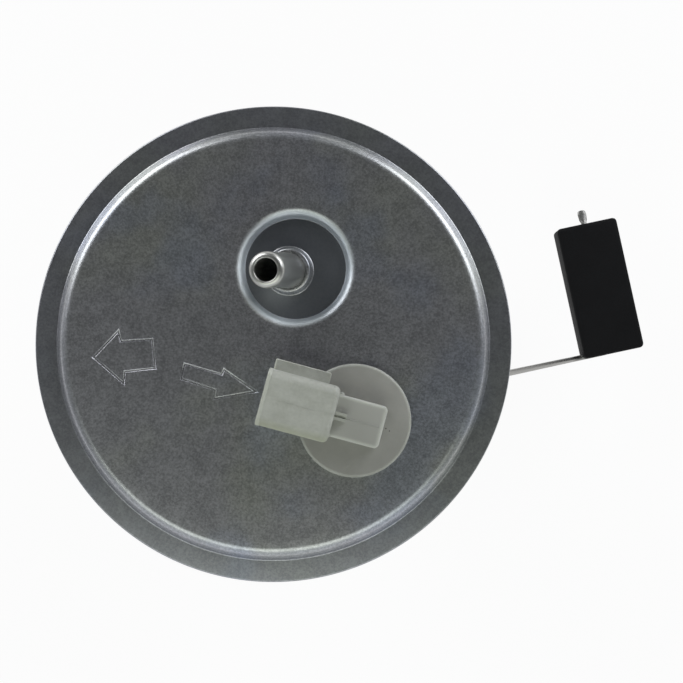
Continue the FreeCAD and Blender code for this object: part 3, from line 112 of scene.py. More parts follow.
# %% Camera
CAMERA_HEIGHT = 451.5
CAMERA_RIGHT = 18.56
CAMERA_UP = -17.9
TARGET_UP = 0.36
FOCAL_PIXELS = 1651.0
PHOTO_PIXELS = 683.0
SENSOR_WIDTH = 36.0


def add_camera():
    """Camera at the photo's place, with the photo's right-hand side as its own."""
    eye = from_photo(CAMERA_RIGHT, CAMERA_UP, CAMERA_HEIGHT)
    target = from_photo(CAMERA_RIGHT, TARGET_UP, RIM_TOP / MM)
    back = (eye - target).normalized()
    right = along(PHOTO_TURN)
    upward = back.cross(right).normalized()
    camera_data = bpy.data.cameras.new("photo_camera")
    camera_data.sensor_width = SENSOR_WIDTH
    camera_data.lens = SENSOR_WIDTH * FOCAL_PIXELS / PHOTO_PIXELS
    camera_data.clip_start = 0.01
    camera = bpy.data.objects.new("photo_camera", camera_data)
    turn = Matrix((right, upward, back)).transposed().to_4x4()
    camera.matrix_world = Matrix.Translation(eye) @ turn
    bpy.context.collection.objects.link(camera)
    bpy.context.scene.camera = camera
    return camera


camera = add_camera()
print("lens:", round(camera.data.lens, 1))

# %% [markdown]
# A photo studio for small metal parts: a pale room, one wide lamp from the upper left, a second from the
# upper right and a weak one from below the picture. The step of the flange mirrors them.

# %% Lamps
LAMP_DISTANCE = 0.75


def add_lamp(name, azimuth, tilt, size, power, tone):
    """Wide soft lamp that faces the flange, placed by its direction in the photo."""
    data = bpy.data.lights.new(name, "AREA")
    data.shape = "RECTANGLE"
    data.size, data.size_y = size
    data.energy = power
    data.color = tone
    lamp = bpy.data.objects.new(name, data)
    place = along(PHOTO_TURN + math.radians(azimuth), math.radians(tilt)) * LAMP_DISTANCE
    aim = (Vector((0, 0, 0)) - place).to_track_quat("-Z", "Y")
    lamp.matrix_world = Matrix.Translation(place) @ aim.to_matrix().to_4x4()
    bpy.context.collection.objects.link(lamp)


add_lamp("lamp_upper_left", 136, 70, (0.58, 0.46), 3.0, (0.96, 0.97, 1.0))
add_lamp("lamp_upper_right", 40, 70, (0.54, 0.46), 2.8, (0.94, 0.96, 1.0))
add_lamp("lamp_lower", 265, 34, (0.90, 0.36), 1.5, (0.95, 1.0, 0.90))


# %% [markdown]
# Shader maths reads better as arithmetic. A small class wraps one socket, and the operators add the
# Math nodes. Colours go through a Mix node, because a Math node would turn them grey.

# %% A class for shader sockets
MIX_COLOUR_OUTPUT = 2


def feed(tree, entry, value):
    """A link or a plain value for one socket."""
    if isinstance(value, Wire):
        value = value.socket
    if isinstance(value, bpy.types.NodeSocket):
        tree.links.new(value, entry)
    else:
        entry.default_value = value


class Wire:
    """One output socket of a material's node tree, for use in expressions."""

    def __init__(self, tree, socket):
        self.tree = tree
        self.socket = socket

    def _math(self, operation, *values):
        node = self.tree.nodes.new("ShaderNodeMath")
        node.operation = operation
        for entry, value in zip(node.inputs, values):
            feed(self.tree, entry, value)
        return Wire(self.tree, node.outputs[0])

    def __add__(self, other):
        return self._math("ADD", self, other)

    def __radd__(self, other):
        return self._math("ADD", other, self)

    def __sub__(self, other):
        return self._math("SUBTRACT", self, other)

    def __rsub__(self, other):
        return self._math("SUBTRACT", other, self)

    def __mul__(self, other):
        return self._math("MULTIPLY", self, other)

    def __rmul__(self, other):
        return self._math("MULTIPLY", other, self)

    def __truediv__(self, other):
        return self._math("DIVIDE", self, other)

    def __pow__(self, other):
        return self._math("POWER", self, other)

    def function(self, operation, *others):
        """Any other operation of the Math node."""
        return self._math(operation, self, *others)

    def clamped(self):
        """The value held between 0 and 1."""
        return self._math("MINIMUM", self._math("MAXIMUM", self, 0.0), 1.0)

    def step(self, low, high):
        """Smooth rise from 0 at low to 1 at high."""
        node = self.tree.nodes.new("ShaderNodeMapRange")
        node.interpolation_type = "SMOOTHSTEP"
        self.tree.links.new(self.socket, node.inputs["Value"])
        node.inputs["From Min"].default_value = low
        node.inputs["From Max"].default_value = high
        return Wire(self.tree, node.outputs[0])


class Finish:
    """A material under construction: its node tree, its Principled shader and its coordinates."""

    def __init__(self, name):
        self.material = bpy.data.materials.new(name)
        self.material.use_nodes = True
        self.tree = self.material.node_tree
        self.shader = self.tree.nodes["Principled BSDF"]
        self.place = self.node("ShaderNodeTexCoord").outputs["Object"]

    def node(self, kind, settings=None, **sockets):
        """Any node, with its settings first and then the values or links of its sockets."""
        node = self.tree.nodes.new(kind)
        for name, value in (settings or {}).items():
            setattr(node, name, value)
        for name, value in sockets.items():
            feed(self.tree, node.inputs[name.replace("_", " ")], value)
        return node

    def wire(self, socket):
        """A socket as a value for expressions."""
        return Wire(self.tree, socket)

    def noise(self, scale, detail=2.0, roughness=0.5, stretch=None):
        """Cloudy pattern from 0 to 1, scale in features per metre."""
        vector = self.place
        if stretch:
            vector = self.node("ShaderNodeMapping", Vector=vector, Scale=stretch).outputs[0]
        node = self.node("ShaderNodeTexNoise", Vector=vector, Scale=scale, Detail=detail,
                         Roughness=roughness)
        return self.wire(node.outputs["Fac"])

    def cells(self, scale):
        """Distance to the nearest point of a random scatter."""
        node = self.node("ShaderNodeTexVoronoi", Vector=self.place, Scale=scale)
        return self.wire(node.outputs["Distance"])

    def axis(self, name):
        """One coordinate of the object space."""
        return self.wire(self.node("ShaderNodeSeparateXYZ", Vector=self.place).outputs[name])

    def mix(self, factor, first, second):
        """Blend of two colours."""
        node = self.node("ShaderNodeMix", {"data_type": "RGBA"})
        entries = {"Factor": factor, "A": first, "B": second}
        for entry in node.inputs:
            if entry.name in entries and (entry.type == "RGBA" or entry.identifier == "Factor_Float"):
                feed(self.tree, entry, entries[entry.name])
        return node.outputs[MIX_COLOUR_OUTPUT]

    def set(self, **values):
        """Sockets of the shader, by name."""
        for name, value in values.items():
            feed(self.tree, self.shader.inputs[name.replace("_", " ")], value)

    def bump(self, height, strength=0.3, distance=0.0001):
        """Relief from a height pattern."""
        node = self.node("ShaderNodeBump", Strength=strength, Distance=distance, Height=height)
        self.set(Normal=node.outputs[0])


def colour(red, green, blue):
    """Colour with full alpha."""
    return (red, green, blue, 1.0)


def band(distance, inner, outer):
    """Mask that rises over the inner pair of distances and falls over the outer pair."""
    return distance.step(*inner) * (1.0 - distance.step(*outer))


print("shader helpers ready")

# %% [markdown]
# The flange is pressed steel with a zinc plate. Plating grows in fine grains, so close up it is
# mottled, and its gloss wanders in wide clouds. A faint yellow and blue tint comes from the passivation.
# On the flange the dimple wall and the step carry a painted highlight, and the dimple floor and the rim
# painted shade.

# %% Zinc plate
DIMPLE_WALL_RINGS = ((0.0137, 0.0138), (0.0150, 0.0166))
STEP_RINGS = ((0.0552, 0.0562), (0.0588, 0.0590))
DIMPLE_FLOOR_RING = (0.0136, 0.0138)
RIM_RING = (0.0589, 0.0592)
# Colour of the painted highlights and colour of the painted shade on the flange.
HIGHLIGHT_COLOUR = (0.80, 0.86, 0.90)
SHADED_COLOUR = (0.24, 0.255, 0.285)


def zinc_plate(name, base, tint=0.5, with_painted_light=False):
    """Satin plated steel with fine grain, wide clouds, a faint tint and fine scratches, and for the flange
    painted highlights on the dimple wall and step and painted shade on the dimple floor and rim.
    """
    finish = Finish(name)
    clouds = finish.noise(22.0, detail=3.0)
    grain = finish.noise(1700.0, detail=4.0, roughness=0.75)
    blotch = finish.noise(210.0, detail=4.0, roughness=0.6)
    scratch = finish.noise(90.0, detail=5.0, stretch=(1.0, 14.0, 1.0)).step(0.62, 0.74)
    olive = clouds.step(0.46, 0.64) * tint
    blue = finish.noise(31.0, detail=3.0).step(0.50, 0.66) * tint
    shades = []
    for share in (0.74, 1.26):
        plain = tuple(c * share for c in base)
        shade = finish.mix(olive, colour(*plain), colour(plain[0] * 1.08, plain[1] * 1.12, plain[2] * 0.90))
        shades.append(finish.mix(blue, shade, colour(plain[0] * 0.88, plain[1] * 0.96, plain[2] * 1.12)))
    body = finish.mix((grain * 0.78 + blotch * 0.22).step(0.36, 0.64), *shades)
    body = finish.mix(scratch * 0.15, body, colour(*(min(c * 1.7, 0.9) for c in base)))
    gloss = grain * 0.07 + blotch * 0.05 + 0.275
    if with_painted_light:
        from_x = finish.axis("X") - DIMPLE.x
        from_y = finish.axis("Y") - DIMPLE.y
        reach = (from_x * from_x + from_y * from_y) ** 0.5
        highlit_wall = band(reach, *DIMPLE_WALL_RINGS)
        across = (finish.axis("X") ** 2.0 + finish.axis("Y") ** 2.0) ** 0.5
        step_band = band(across, *STEP_RINGS)
        # Painted highlight: the dimple wall and, more faintly, the step are mixed towards a light colour.
        body = finish.mix(highlit_wall * 0.9 + step_band * 0.12, body, colour(*HIGHLIGHT_COLOUR))
        # Painted shade: the dimple floor and the rim are mixed towards a dark colour.
        floor = 1.0 - reach.step(*DIMPLE_FLOOR_RING)
        rim = across.step(*RIM_RING)
        body = finish.mix(floor * 0.9 + rim * 0.45, body, colour(*SHADED_COLOUR))
        gloss = gloss + highlit_wall * 0.10 - floor * 0.02 - rim * 0.02
    finish.set(Base_Color=body, Metallic=0.88, Roughness=gloss)
    finish.bump(grain * 0.7 + blotch * 0.3, strength=0.22, distance=0.00007)
    return finish.material


# %% [markdown]
# The tube is tinned and brushed by handling: bright, slightly streaked along its length.

# %% Tinned and plain steels
def plain_metal(name, base, roughness, grain_scale=1800.0, streak=(1.0, 1.0, 0.15)):
    """Bare or plated metal with a streaked gloss."""
    finish = Finish(name)
    streaks = finish.noise(grain_scale, detail=3.0, stretch=streak)
    blotch = finish.noise(160.0, detail=4.0)
    dark = tuple(c * 0.82 for c in base)
    light = tuple(min(c * 1.12, 1.0) for c in base)
    body = finish.mix(streaks * 0.6 + blotch * 0.4, colour(*dark), colour(*light))
    finish.set(Base_Color=body, Metallic=0.95, Roughness=streaks * 0.18 + roughness)
    finish.bump(streaks, strength=0.12, distance=0.00005)
    return finish.material


# %% [markdown]
# Natural nylon is milky: light goes a little way in. It picks up a warm cast and carries a few dark
# specks, and its moulded skin is matt with a very fine grain.

# %% Moulded plastics and rubber
def moulded(name, base, roughness=0.45, depth=0.0, specks=0.0, grain=0.12, scale=1400.0):
    """Moulded plastic with a fine skin, soft clouds and, for nylon, specks and depth."""
    finish = Finish(name)
    skin = finish.noise(scale, detail=3.0)
    clouds = finish.noise(120.0, detail=3.0)
    dark = tuple(c * 0.90 for c in base)
    body = finish.mix(clouds, colour(*dark), colour(*base))
    if specks:
        spots = 1.0 - finish.cells(620.0).step(0.035, 0.06)
        body = finish.mix(spots * specks, body, colour(0.05, 0.045, 0.04))
    finish.set(Base_Color=body, Roughness=skin * 0.15 + roughness)
    if depth:
        finish.set(Subsurface_Weight=depth, Subsurface_Radius=(0.004, 0.004, 0.003), Subsurface_Scale=0.5)
    finish.bump(skin, strength=grain, distance=0.00006)
    return finish.material


# %% [markdown]
# The connector is the same nylon, but its thin round flange lies on dark metal and shows it: darker and
# browner inside, with a pale edge. The socket's mouth is paler and its lower side yellower. The rounded
# top edges of the column carry a painted highlight.

# %% Nylon of the connector
SOCKET_CENTRE = Vector((26.8, -14.7)) * MM
MOUTH_OFFSET = 0.025
FLANGE_TOP_RISE = (0.0070, 0.0076)
FLANGE_EDGE_RING = (0.0143, 0.0151)
COLUMN_START = -0.0062
COLUMN_START_RISE = (0.0, 0.0012)
COLUMN_END_RISE = (0.0063, 0.0073)
COLUMN_SIDE_RISE = (0.0044, 0.0054)
COLUMN_EDGE_RISE = (0.0126, 0.0134)
COLUMN_TOP_RISE = (0.0142, 0.0150)


def socket_nylon(name):
    """Milky nylon whose shade follows how thick it is and what lies behind it, with a painted highlight on
    the column's top edges.
    """
    finish = Finish(name)
    skin = finish.noise(1500.0, detail=3.0)
    clouds = finish.noise(260.0, detail=4.0, roughness=0.6)
    streaks = finish.noise(600.0, detail=4.0, stretch=(0.3, 1.0, 1.0))
    height = finish.axis("Z")
    x_off = finish.axis("X") - SOCKET_CENTRE.x
    y_off = finish.axis("Y") - SOCKET_CENTRE.y
    reach = (x_off * x_off + y_off * y_off) ** 0.5
    mottle = (clouds * 0.5 + streaks * 0.3 + skin * 0.2).step(0.32, 0.68)
    body = finish.mix(mottle, colour(0.42, 0.43, 0.38), colour(0.54, 0.55, 0.50))
    # Yellower along the socket's lower side.
    lower_side_tint = (-0.0048 - y_off).step(0.0, 0.0028) * height.step(0.008, 0.012)
    body = finish.mix(lower_side_tint * 0.6, body, colour(0.47, 0.49, 0.34))
    mouth = 1.0 - (x_off + MOUTH_OFFSET).step(0.0009, 0.0013)
    body = finish.mix(mouth * 0.5, body, colour(0.70, 0.72, 0.62))
    low = 1.0 - height.step(*FLANGE_TOP_RISE)
    thin = low * (1.0 - reach.step(*FLANGE_EDGE_RING))
    shade = finish.mix(clouds, colour(0.33, 0.325, 0.30), colour(0.42, 0.415, 0.385))
    body = finish.mix(thin, body, shade)
    started = (x_off - COLUMN_START).step(*COLUMN_START_RISE)
    column = started * (1.0 - low) * (1.0 - height.step(*COLUMN_TOP_RISE))
    column = column * (1.0 - x_off.step(*COLUMN_END_RISE))
    column = column * (1.0 - y_off.function("ABSOLUTE").step(*COLUMN_SIDE_RISE))
    # Painted highlight: the rounded top edges of the column are mixed towards a pale colour.
    pale = band(height, COLUMN_EDGE_RISE, COLUMN_TOP_RISE) * started
    body = finish.mix(pale * (1.0 - column) * 0.6, body, colour(0.66, 0.67, 0.62))
    body = finish.mix(column, body, colour(0.45, 0.45, 0.415))
    spots = 1.0 - finish.cells(330.0).step(0.05, 0.085)
    body = finish.mix(spots * clouds.step(0.45, 0.6) * 0.85, body, colour(0.05, 0.045, 0.04))
    finish.set(Base_Color=body, Roughness=skin * 0.15 + 0.36)
    finish.set(Subsurface_Weight=0.2, Subsurface_Radius=(0.003, 0.003, 0.0025), Subsurface_Scale=0.5)
    finish.bump(skin * 0.6 + streaks * 0.4, strength=0.2, distance=0.00006)
    return finish.material


# %% [markdown]
# The float is closed-cell nitrile foam, cut from a block: almost black, dull, with tiny open cells.

# %% Foam, cloth and ceramics
THREAD_PITCH = 0.00075
BAR_PITCH = 0.0011


def cell_foam(name):
    """Black foam with pin-sized cells."""
    finish = Finish(name)
    cells = finish.cells(1500.0)
    patches = finish.noise(90.0, detail=4.0)
    body = finish.mix(patches, colour(0.005, 0.005, 0.0054), colour(0.010, 0.010, 0.011))
    finish.set(Base_Color=body, Roughness=patches * 0.15 + 0.62, Specular_IOR_Level=0.12)
    finish.bump(cells, strength=0.35, distance=0.00015)
    return finish.material


def filter_cloth(name):
    """Woven nylon: two sets of threads that pass over and under."""
    finish = Finish(name)
    turned = finish.node("ShaderNodeMapping", Vector=finish.place, Rotation=(0, 0, -HANGER_TURN))
    split = finish.node("ShaderNodeSeparateXYZ", Vector=turned.outputs[0])
    across_u = finish.wire(split.outputs["X"]) * (2 * math.pi / THREAD_PITCH)
    across_v = finish.wire(split.outputs["Y"]) * (2 * math.pi / THREAD_PITCH)
    weave = (across_u.function("SINE") * across_v.function("SINE")) * 0.5 + 0.5
    gaps = (across_u * 2.0).function("COSINE").function("MAXIMUM", (across_v * 2.0).function("COSINE"))
    patches = finish.noise(70.0, detail=3.0)
    body = finish.mix(weave, colour(0.46, 0.46, 0.42), colour(0.74, 0.74, 0.69))
    body = finish.mix(patches * 0.3, body, colour(0.56, 0.55, 0.48))
    finish.set(Base_Color=body, Roughness=0.7)
    finish.bump(weave * 0.6 + gaps * 0.4, strength=0.5, distance=0.0002)
    return finish.material


def printed_card(name):
    """White ceramic card with dark resistor bars and pale contact lines across it."""
    finish = Finish(name)
    height = finish.axis("Z")
    bars = ((height * (2 * math.pi / BAR_PITCH)).function("SINE") * 0.5 + 0.5).step(0.35, 0.65)
    speck = finish.noise(900.0)
    body = finish.mix(bars, colour(0.62, 0.62, 0.58), colour(0.07, 0.07, 0.075))
    finish.set(Base_Color=body, Roughness=speck * 0.2 + 0.35)
    return finish.material


ZINC = zinc_plate("zinc_plate", (0.43, 0.43, 0.455), with_painted_light=True)
BRACKET_ZINC = zinc_plate("bracket_zinc", (0.44, 0.445, 0.45), tint=0.5)
TIN = plain_metal("tinned_steel", (0.58, 0.58, 0.55), 0.24)
STEEL = plain_metal("plain_steel", (0.50, 0.50, 0.51), 0.26)
CASE_STEEL = plain_metal("case_steel", (0.56, 0.56, 0.57), 0.20)
WIRE_STEEL = plain_metal("wire_steel", (0.34, 0.335, 0.32), 0.34)
BRASS = plain_metal("brass", (0.68, 0.50, 0.22), 0.25)
BLADE_TIN = plain_metal("blade_tin", (0.66, 0.65, 0.60), 0.25)
COPPER = plain_metal("copper_wire", (0.62, 0.26, 0.12), 0.30)
SINTERED = plain_metal("sintered_bronze", (0.42, 0.31, 0.18), 0.45)
LAMINATION = plain_metal("lamination", (0.30, 0.30, 0.31), 0.40, 3000.0, (0.1, 0.1, 3.0))
NYLON = moulded("natural_nylon", (0.60, 0.61, 0.55), 0.42, depth=0.25, specks=0.8)
SOCKET = socket_nylon("socket_nylon")
ACETAL = moulded("natural_acetal", (0.66, 0.66, 0.61), 0.38, depth=0.15)
BLACK_PLASTIC = moulded("black_plastic", (0.022, 0.022, 0.024), 0.40)
RUBBER = moulded("black_rubber", (0.014, 0.014, 0.015), 0.62, grain=0.25, scale=700.0)
CARBON = moulded("carbon", (0.03, 0.03, 0.03), 0.60)
FERRITE = moulded("ferrite", (0.045, 0.045, 0.05), 0.55, grain=0.3)
FOAM = cell_foam("float_foam")
CLOTH = filter_cloth("filter_cloth")
CARD = printed_card("printed_card")
print("finishes:", len(bpy.data.materials))

# %% [markdown]
# Pieces of the measured model that keep their shape get a finish, and their facets are welded and
# shaded smooth up to sharp edges by two modifiers, which leave the model's own mesh alone.

# %% Finish for every measured piece
MEASURED_CREASE = 28
FINISHES = {
    "zinc_steel": ZINC, "tin_steel": TIN, "steel": STEEL, "natural_nylon": NYLON,
    "white_acetal": ACETAL, "black_plastic": BLACK_PLASTIC, "black_foam": FOAM,
    "black_rubber": RUBBER, "brass": BRASS, "tinned_blade": BLADE_TIN, "copper": COPPER,
    "carbon": CARBON, "ferrite": FERRITE, "sintered": SINTERED, "lamination": LAMINATION,
    "alumina": CARD, "mesh": CLOTH,
}
OWN_FINISH = {"hanger_bracket": BRACKET_ZINC, "pump_case": CASE_STEEL, "float_arm": WIRE_STEEL,
              "connector_housing": SOCKET}
SLOT_OF = {entry["node"]: entry["material_slot"] for entry in frame["record"]["subparts"]}


def polish(node_name):
    """Finish and smooth shading for one measured piece."""
    item = frame["nodes"][node_name]
    material = OWN_FINISH.get(node_name, FINISHES[SLOT_OF[node_name]])
    for slot in item.material_slots:
        slot.material = material
    if not item.material_slots:
        item.data.materials.append(material)
    item.data.polygons.foreach_set("use_smooth", [True] * len(item.data.polygons))
    weld = item.modifiers.new("weld", "WELD")
    weld.merge_threshold = 1e-6
    crease = item.modifiers.new("crease", "EDGE_SPLIT")
    crease.split_angle = math.radians(MEASURED_CREASE)


for node_name in frame["nodes"]:
    polish(node_name)
print("finished measured pieces:", len(frame["nodes"]))

# %% [markdown]
# Helpers that turn a bmesh into a piece. Sharp edges are marked by their angle, so that flat faces stay
# flat and fillets shade round.

# %% Helpers for modelled pieces
SAME_PLACE = 1e-6


def finish_piece(name, mesh_edit, material, body, replaced=(), crease=32.0):
    """Mesh object from a bmesh, shaded by angle, riding on a body and standing for its nodes."""
    bmesh.ops.remove_doubles(mesh_edit, verts=mesh_edit.verts[:], dist=1e-7)
    bmesh.ops.recalc_face_normals(mesh_edit, faces=mesh_edit.faces[:])
    for face in mesh_edit.faces:
        face.smooth = True
    for edge in mesh_edit.edges:
        if len(edge.link_faces) == 2 and edge.calc_face_angle() > math.radians(crease):
            edge.smooth = False
    data = bpy.data.meshes.new(name)
    mesh_edit.to_mesh(data)
    mesh_edit.free()
    data.materials.append(material)
    piece = bpy.data.objects.new(name, data)
    bpy.context.collection.objects.link(piece)
    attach(piece, body)
    if replaced:
        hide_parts(*replaced)
    print(name, "faces:", len(data.polygons))
    return piece


def rounded(corners, steps=6):
    """Outline through corners (x, y, radius), each corner a round of that radius."""
    points = []
    count = len(corners)
    for index, (x, y, radius) in enumerate(corners):
        here = Vector((x, y))
        if radius == 0 or index in (0, count - 1):
            points.append(here)
            continue
        before = (Vector(corners[index - 1][:2]) - here).normalized()
        after = (Vector(corners[index + 1][:2]) - here).normalized()
        half = before.angle(after) / 2
        centre = here + (before + after).normalized() * (radius / math.sin(half))
        start = here + before * (radius / math.tan(half)) - centre
        sweep = start.angle_signed(here + after * (radius / math.tan(half)) - centre)
        for step in range(steps + 1):
            turn = Matrix.Rotation(-sweep * step / steps, 2)
            points.append(centre + turn @ start)
    return points


def rounded_loop(corners, steps=6):
    """Closed outline through corners (x, y, radius)."""
    middle = ((corners[0][0] + corners[-1][0]) / 2, (corners[0][1] + corners[-1][1]) / 2, 0)
    return rounded([middle] + list(corners) + [middle], steps)[:-1]


def chain(mesh_edit, places, closed=False):
    """Vertices joined by edges in a row."""
    verts = [mesh_edit.verts.new(place) for place in places]
    edges = [mesh_edit.edges.new(pair) for pair in zip(verts, verts[1:])]
    if closed:
        edges.append(mesh_edit.edges.new((verts[-1], verts[0])))
    return verts, edges


def spun(mesh_edit, profile, centre, axis=UP, steps=96):
    """Full turn of a profile of (radius, height) points in mm about an axis."""
    side = axis.orthogonal().normalized()
    places = [centre + (side * x + axis * y) * MM for x, y in profile]
    verts, edges = chain(mesh_edit, places)
    bmesh.ops.spin(mesh_edit, geom=verts + edges, cent=centre, axis=axis, dvec=(0, 0, 0),
                   angle=2 * math.pi, steps=steps, use_merge=True, use_normal_flip=False,
                   use_duplicate=False)


def boundary_at(mesh_edit, height):
    """Open edges at one height."""
    return [edge for edge in mesh_edit.edges if len(edge.link_faces) < 2
            and all(abs(vert.co.z - height) < SAME_PLACE for vert in edge.verts)]


def next_ring(mesh_edit, edges):
    """Extrudes a ring of open edges: the new vertices and the new open edges."""
    grown = bmesh.ops.extrude_edge_only(mesh_edit, edges=edges)["geom"]
    moved = [item for item in grown if isinstance(item, bmesh.types.BMVert)]
    edges = [item for item in grown if isinstance(item, bmesh.types.BMEdge)
             and all(vert in moved for vert in item.verts)]
    return moved, edges


print("helpers ready")

# %% [markdown]
# The flange is one pressing. Its step is turned by spinning a profile, and so is the dimple. The flat
# between them is filled as one face, with the arrows as islands. Each arrow is a groove pressed along
# its outline: copies of the outline, each a little narrower, go down and come back up, and are bridged.

# %% Flange plate
FLANGE_R = 65.0
RIM_EDGE_Z = 1.4
STEP_TOP_R = 57.0
STEP_FOOT_R = 58.95
STEP_UNDER_SHIFT = 0.82
STEP_DRAW = 0.33
FLAT_R = 53.0
FLAT_Z = 4.5
UNDER_Z = 3.0
DIMPLE_Z = 1.5
DIMPLE_FLAT_R = 17.6
DIMPLE_WALL_R = 15.05
DIMPLE_FLOOR_R = 13.75
CUP_WALL_R = 15.8
CUP_FLOOR_R = 15.25
GROOVE = (
    (0.44, 0.0), (0.38, -0.10), (0.20, -0.25), (0.0, -0.29),
    (-0.20, -0.25), (-0.38, -0.10), (-0.44, 0.0),
)
ARROWS = (
    ((-48.6, -4.0), (-41.9, 3.2), (-41.2, 0.3), (-32.7, 0.9),
     (-31.9, -7.0), (-40.2, -7.9), (-40.5, -11.0)),
    ((-4.6, -13.3), (-13.3, -7.25), (-13.9, -8.7), (-24.0, -5.75),
     (-24.8, -9.9), (-15.6, -12.8), (-15.9, -15.2)),
)


def widened(outline, distance):
    """Closed outline moved outwards by a distance, with sharp mitred corners."""
    points = [Vector(p) for p in outline]
    area = sum(a.x * b.y - b.x * a.y for a, b in zip(points, points[1:] + points[:1]))
    side = math.copysign(1.0, area)
    places = []
    for before, here, after in zip(points[-1:] + points[:-1], points, points[1:] + points[:1]):
        first = (here - before).normalized()
        second = (after - here).normalized()
        normal = (Vector((first.y, -first.x)) + Vector((second.y, -second.x))) * side
        normal.normalize()
        places.append(here + normal * (distance / normal.dot(Vector((first.y, -first.x)) * side)))
    return places


def arrow(mesh_edit, outline):
    """Groove pressed round an arrow, whose middle stays at the level of the plate."""
    loops = []
    for distance, level in GROOVE:
        points = widened(outline, distance)
        places = [from_photo(point.x, point.y, PLATEAU / MM + level) for point in points]
        loops.append(chain(mesh_edit, places, closed=True))
    for (_, wider), (_, narrower) in zip(loops, loops[1:]):
        bmesh.ops.bridge_loops(mesh_edit, edges=wider + narrower)
    mesh_edit.faces.new(loops[-1][0])


def flange_plate():
    """Stepped disc with dimple and arrows, top and underside."""
    edit = bmesh.new()
    rim = rounded([
        (FLAT_R, FLAT_Z, 0), (STEP_TOP_R, FLAT_Z, 3.0), (STEP_FOOT_R - STEP_DRAW, 2.3, 0.3),
        (STEP_FOOT_R, 1.5, 0.5), (FLANGE_R, RIM_EDGE_Z, 0.45),
        (FLANGE_R, 0.0, 0.2), (STEP_FOOT_R - STEP_UNDER_SHIFT, 0.0, 2.55),
        (STEP_TOP_R - STEP_UNDER_SHIFT, UNDER_Z, 0.8), (FLAT_R, UNDER_Z, 0),
    ], steps=8)
    spun(edit, rim, Vector((0, 0, 0)), steps=256)
    bowl = rounded([
        (DIMPLE_FLAT_R, FLAT_Z, 0), (DIMPLE_WALL_R, FLAT_Z, 2.5),
        (DIMPLE_FLOOR_R, DIMPLE_Z, 0.12), (0.0, DIMPLE_Z, 0),
    ], steps=8)
    spun(edit, bowl, DIMPLE, steps=128)
    cup = rounded([
        (DIMPLE_FLAT_R, UNDER_Z, 0), (CUP_WALL_R, UNDER_Z, 0.5), (CUP_FLOOR_R, 0.0, 1.5), (0.0, 0.0, 0),
    ])
    spun(edit, cup, DIMPLE, steps=128)
    bmesh.ops.remove_doubles(edit, verts=edit.verts[:], dist=1e-7)
    for outline in ARROWS:
        arrow(edit, outline)
    around = boundary_at(edit, PLATEAU)
    bmesh.ops.triangle_fill(edit, edges=around, use_beauty=True, normal=UP)
    under = boundary_at(edit, PLATEAU_UNDER)
    bmesh.ops.triangle_fill(edit, edges=under, use_beauty=True, normal=-UP)
    return finish_piece("flange_pressing", edit, ZINC, "hanger", ["flange_plate"], crease=42.0)


flange_plate()

# %% [markdown]
# The outlet tube is one bent tube. A profile of its wall, with the rounded nose, is spun about the
# leaning axis. The open end is then spun about the centre of the bend and drawn straight down.

# %% Outlet tube and its collar
TUBE_R = 4.75
TUBE_BORE_R = 3.0
NECK_R = 4.45
TUBE_NOSE_Z = 29.5
SPIGOT_LENGTH = 26.06
TUBE_BEND_Z = -10.0
TUBE_BEND_R = 30.0
TUBE_END_Z = -80.0


def on_tube(z):
    """Point of the leaning axis at a height in mm."""
    return TUBE_FOOT + TUBE_AXIS * ((z * MM - TUBE_FOOT.z) / TUBE_AXIS.z)


def outlet_tube():
    """Tube wall with nose, bend and straight lower run."""
    edit = bmesh.new()
    nose = on_tube(TUBE_NOSE_Z)
    bend_reach = TUBE_BEND_R * math.tan(TUBE_LEAN / 2)
    straight = (nose - on_tube(TUBE_BEND_Z)).length / MM - bend_reach
    wall = rounded([
        (TUBE_BORE_R, -30.0, 0), (TUBE_BORE_R, 0.0, 0.5), (TUBE_R, 0.0, 1.45), (TUBE_R, -SPIGOT_LENGTH, 0.1),
        (NECK_R, -SPIGOT_LENGTH - 0.05, 0.05), (NECK_R, -straight, 0),
    ], steps=8)
    spun(edit, wall, nose, TUBE_AXIS, steps=96)
    low = min(vert.co.dot(TUBE_AXIS) for vert in edit.verts)
    ring = [e for e in edit.edges if all(abs(v.co.dot(TUBE_AXIS) - low) < SAME_PLACE for v in e.verts)]
    lean = Vector((TUBE_AXIS.x, TUBE_AXIS.y, 0)).normalized()
    inward = (lean - TUBE_AXIS * lean.dot(TUBE_AXIS)).normalized()
    start = nose - TUBE_AXIS * straight * MM
    turn_centre = start + inward * TUBE_BEND_R * MM
    turn_axis = TUBE_AXIS.cross(UP).normalized()
    verts = list({v for e in ring for v in e.verts})
    bent = bmesh.ops.spin(edit, geom=verts + ring, cent=turn_centre, axis=turn_axis, dvec=(0, 0, 0),
                          angle=TUBE_LEAN, steps=8, use_merge=False, use_normal_flip=False,
                          use_duplicate=False)
    last = [item for item in bent["geom_last"] if isinstance(item, bmesh.types.BMEdge)]
    for vert in next_ring(edit, last)[0]:
        vert.co.z = TUBE_END_Z * MM
    return finish_piece("outlet_pipe", edit, TIN, "hanger", ["outlet_tube"])


def tube_collar():
    """Bead and braze fillet where the tube meets the dimple."""
    edit = bmesh.new()
    bead = rounded([
        (4.7, -2.6, 0), (6.05, -2.6, 0), (6.05, 1.1, 0.55), (5.2, 1.1, 0.2), (5.0, 0.7, 0.2), (4.7, 0.7, 0),
    ])
    spun(edit, bead, TUBE_FOOT, TUBE_AXIS, steps=96)
    foot = Vector((TUBE_FOOT.x, TUBE_FOOT.y, DIMPLE_FLOOR))
    skirt = rounded([(5.0, 1.25, 0), (6.1, 1.1, 0.5), (6.6, 0.1, 0.2), (6.8, 0.0, 0), (5.0, 0.0, 0)])
    spun(edit, skirt, foot, UP, steps=96)
    return finish_piece("pipe_collar", edit, BRACKET_ZINC, "hanger", ["tube_collar"])


outlet_tube()
tube_collar()

# %% [markdown]
# The float arm is one length of steel wire. A round section is extruded ring by ring along the same runs
# and bends as the solid. Its far end is hammered flat, so that the float can't slide off.

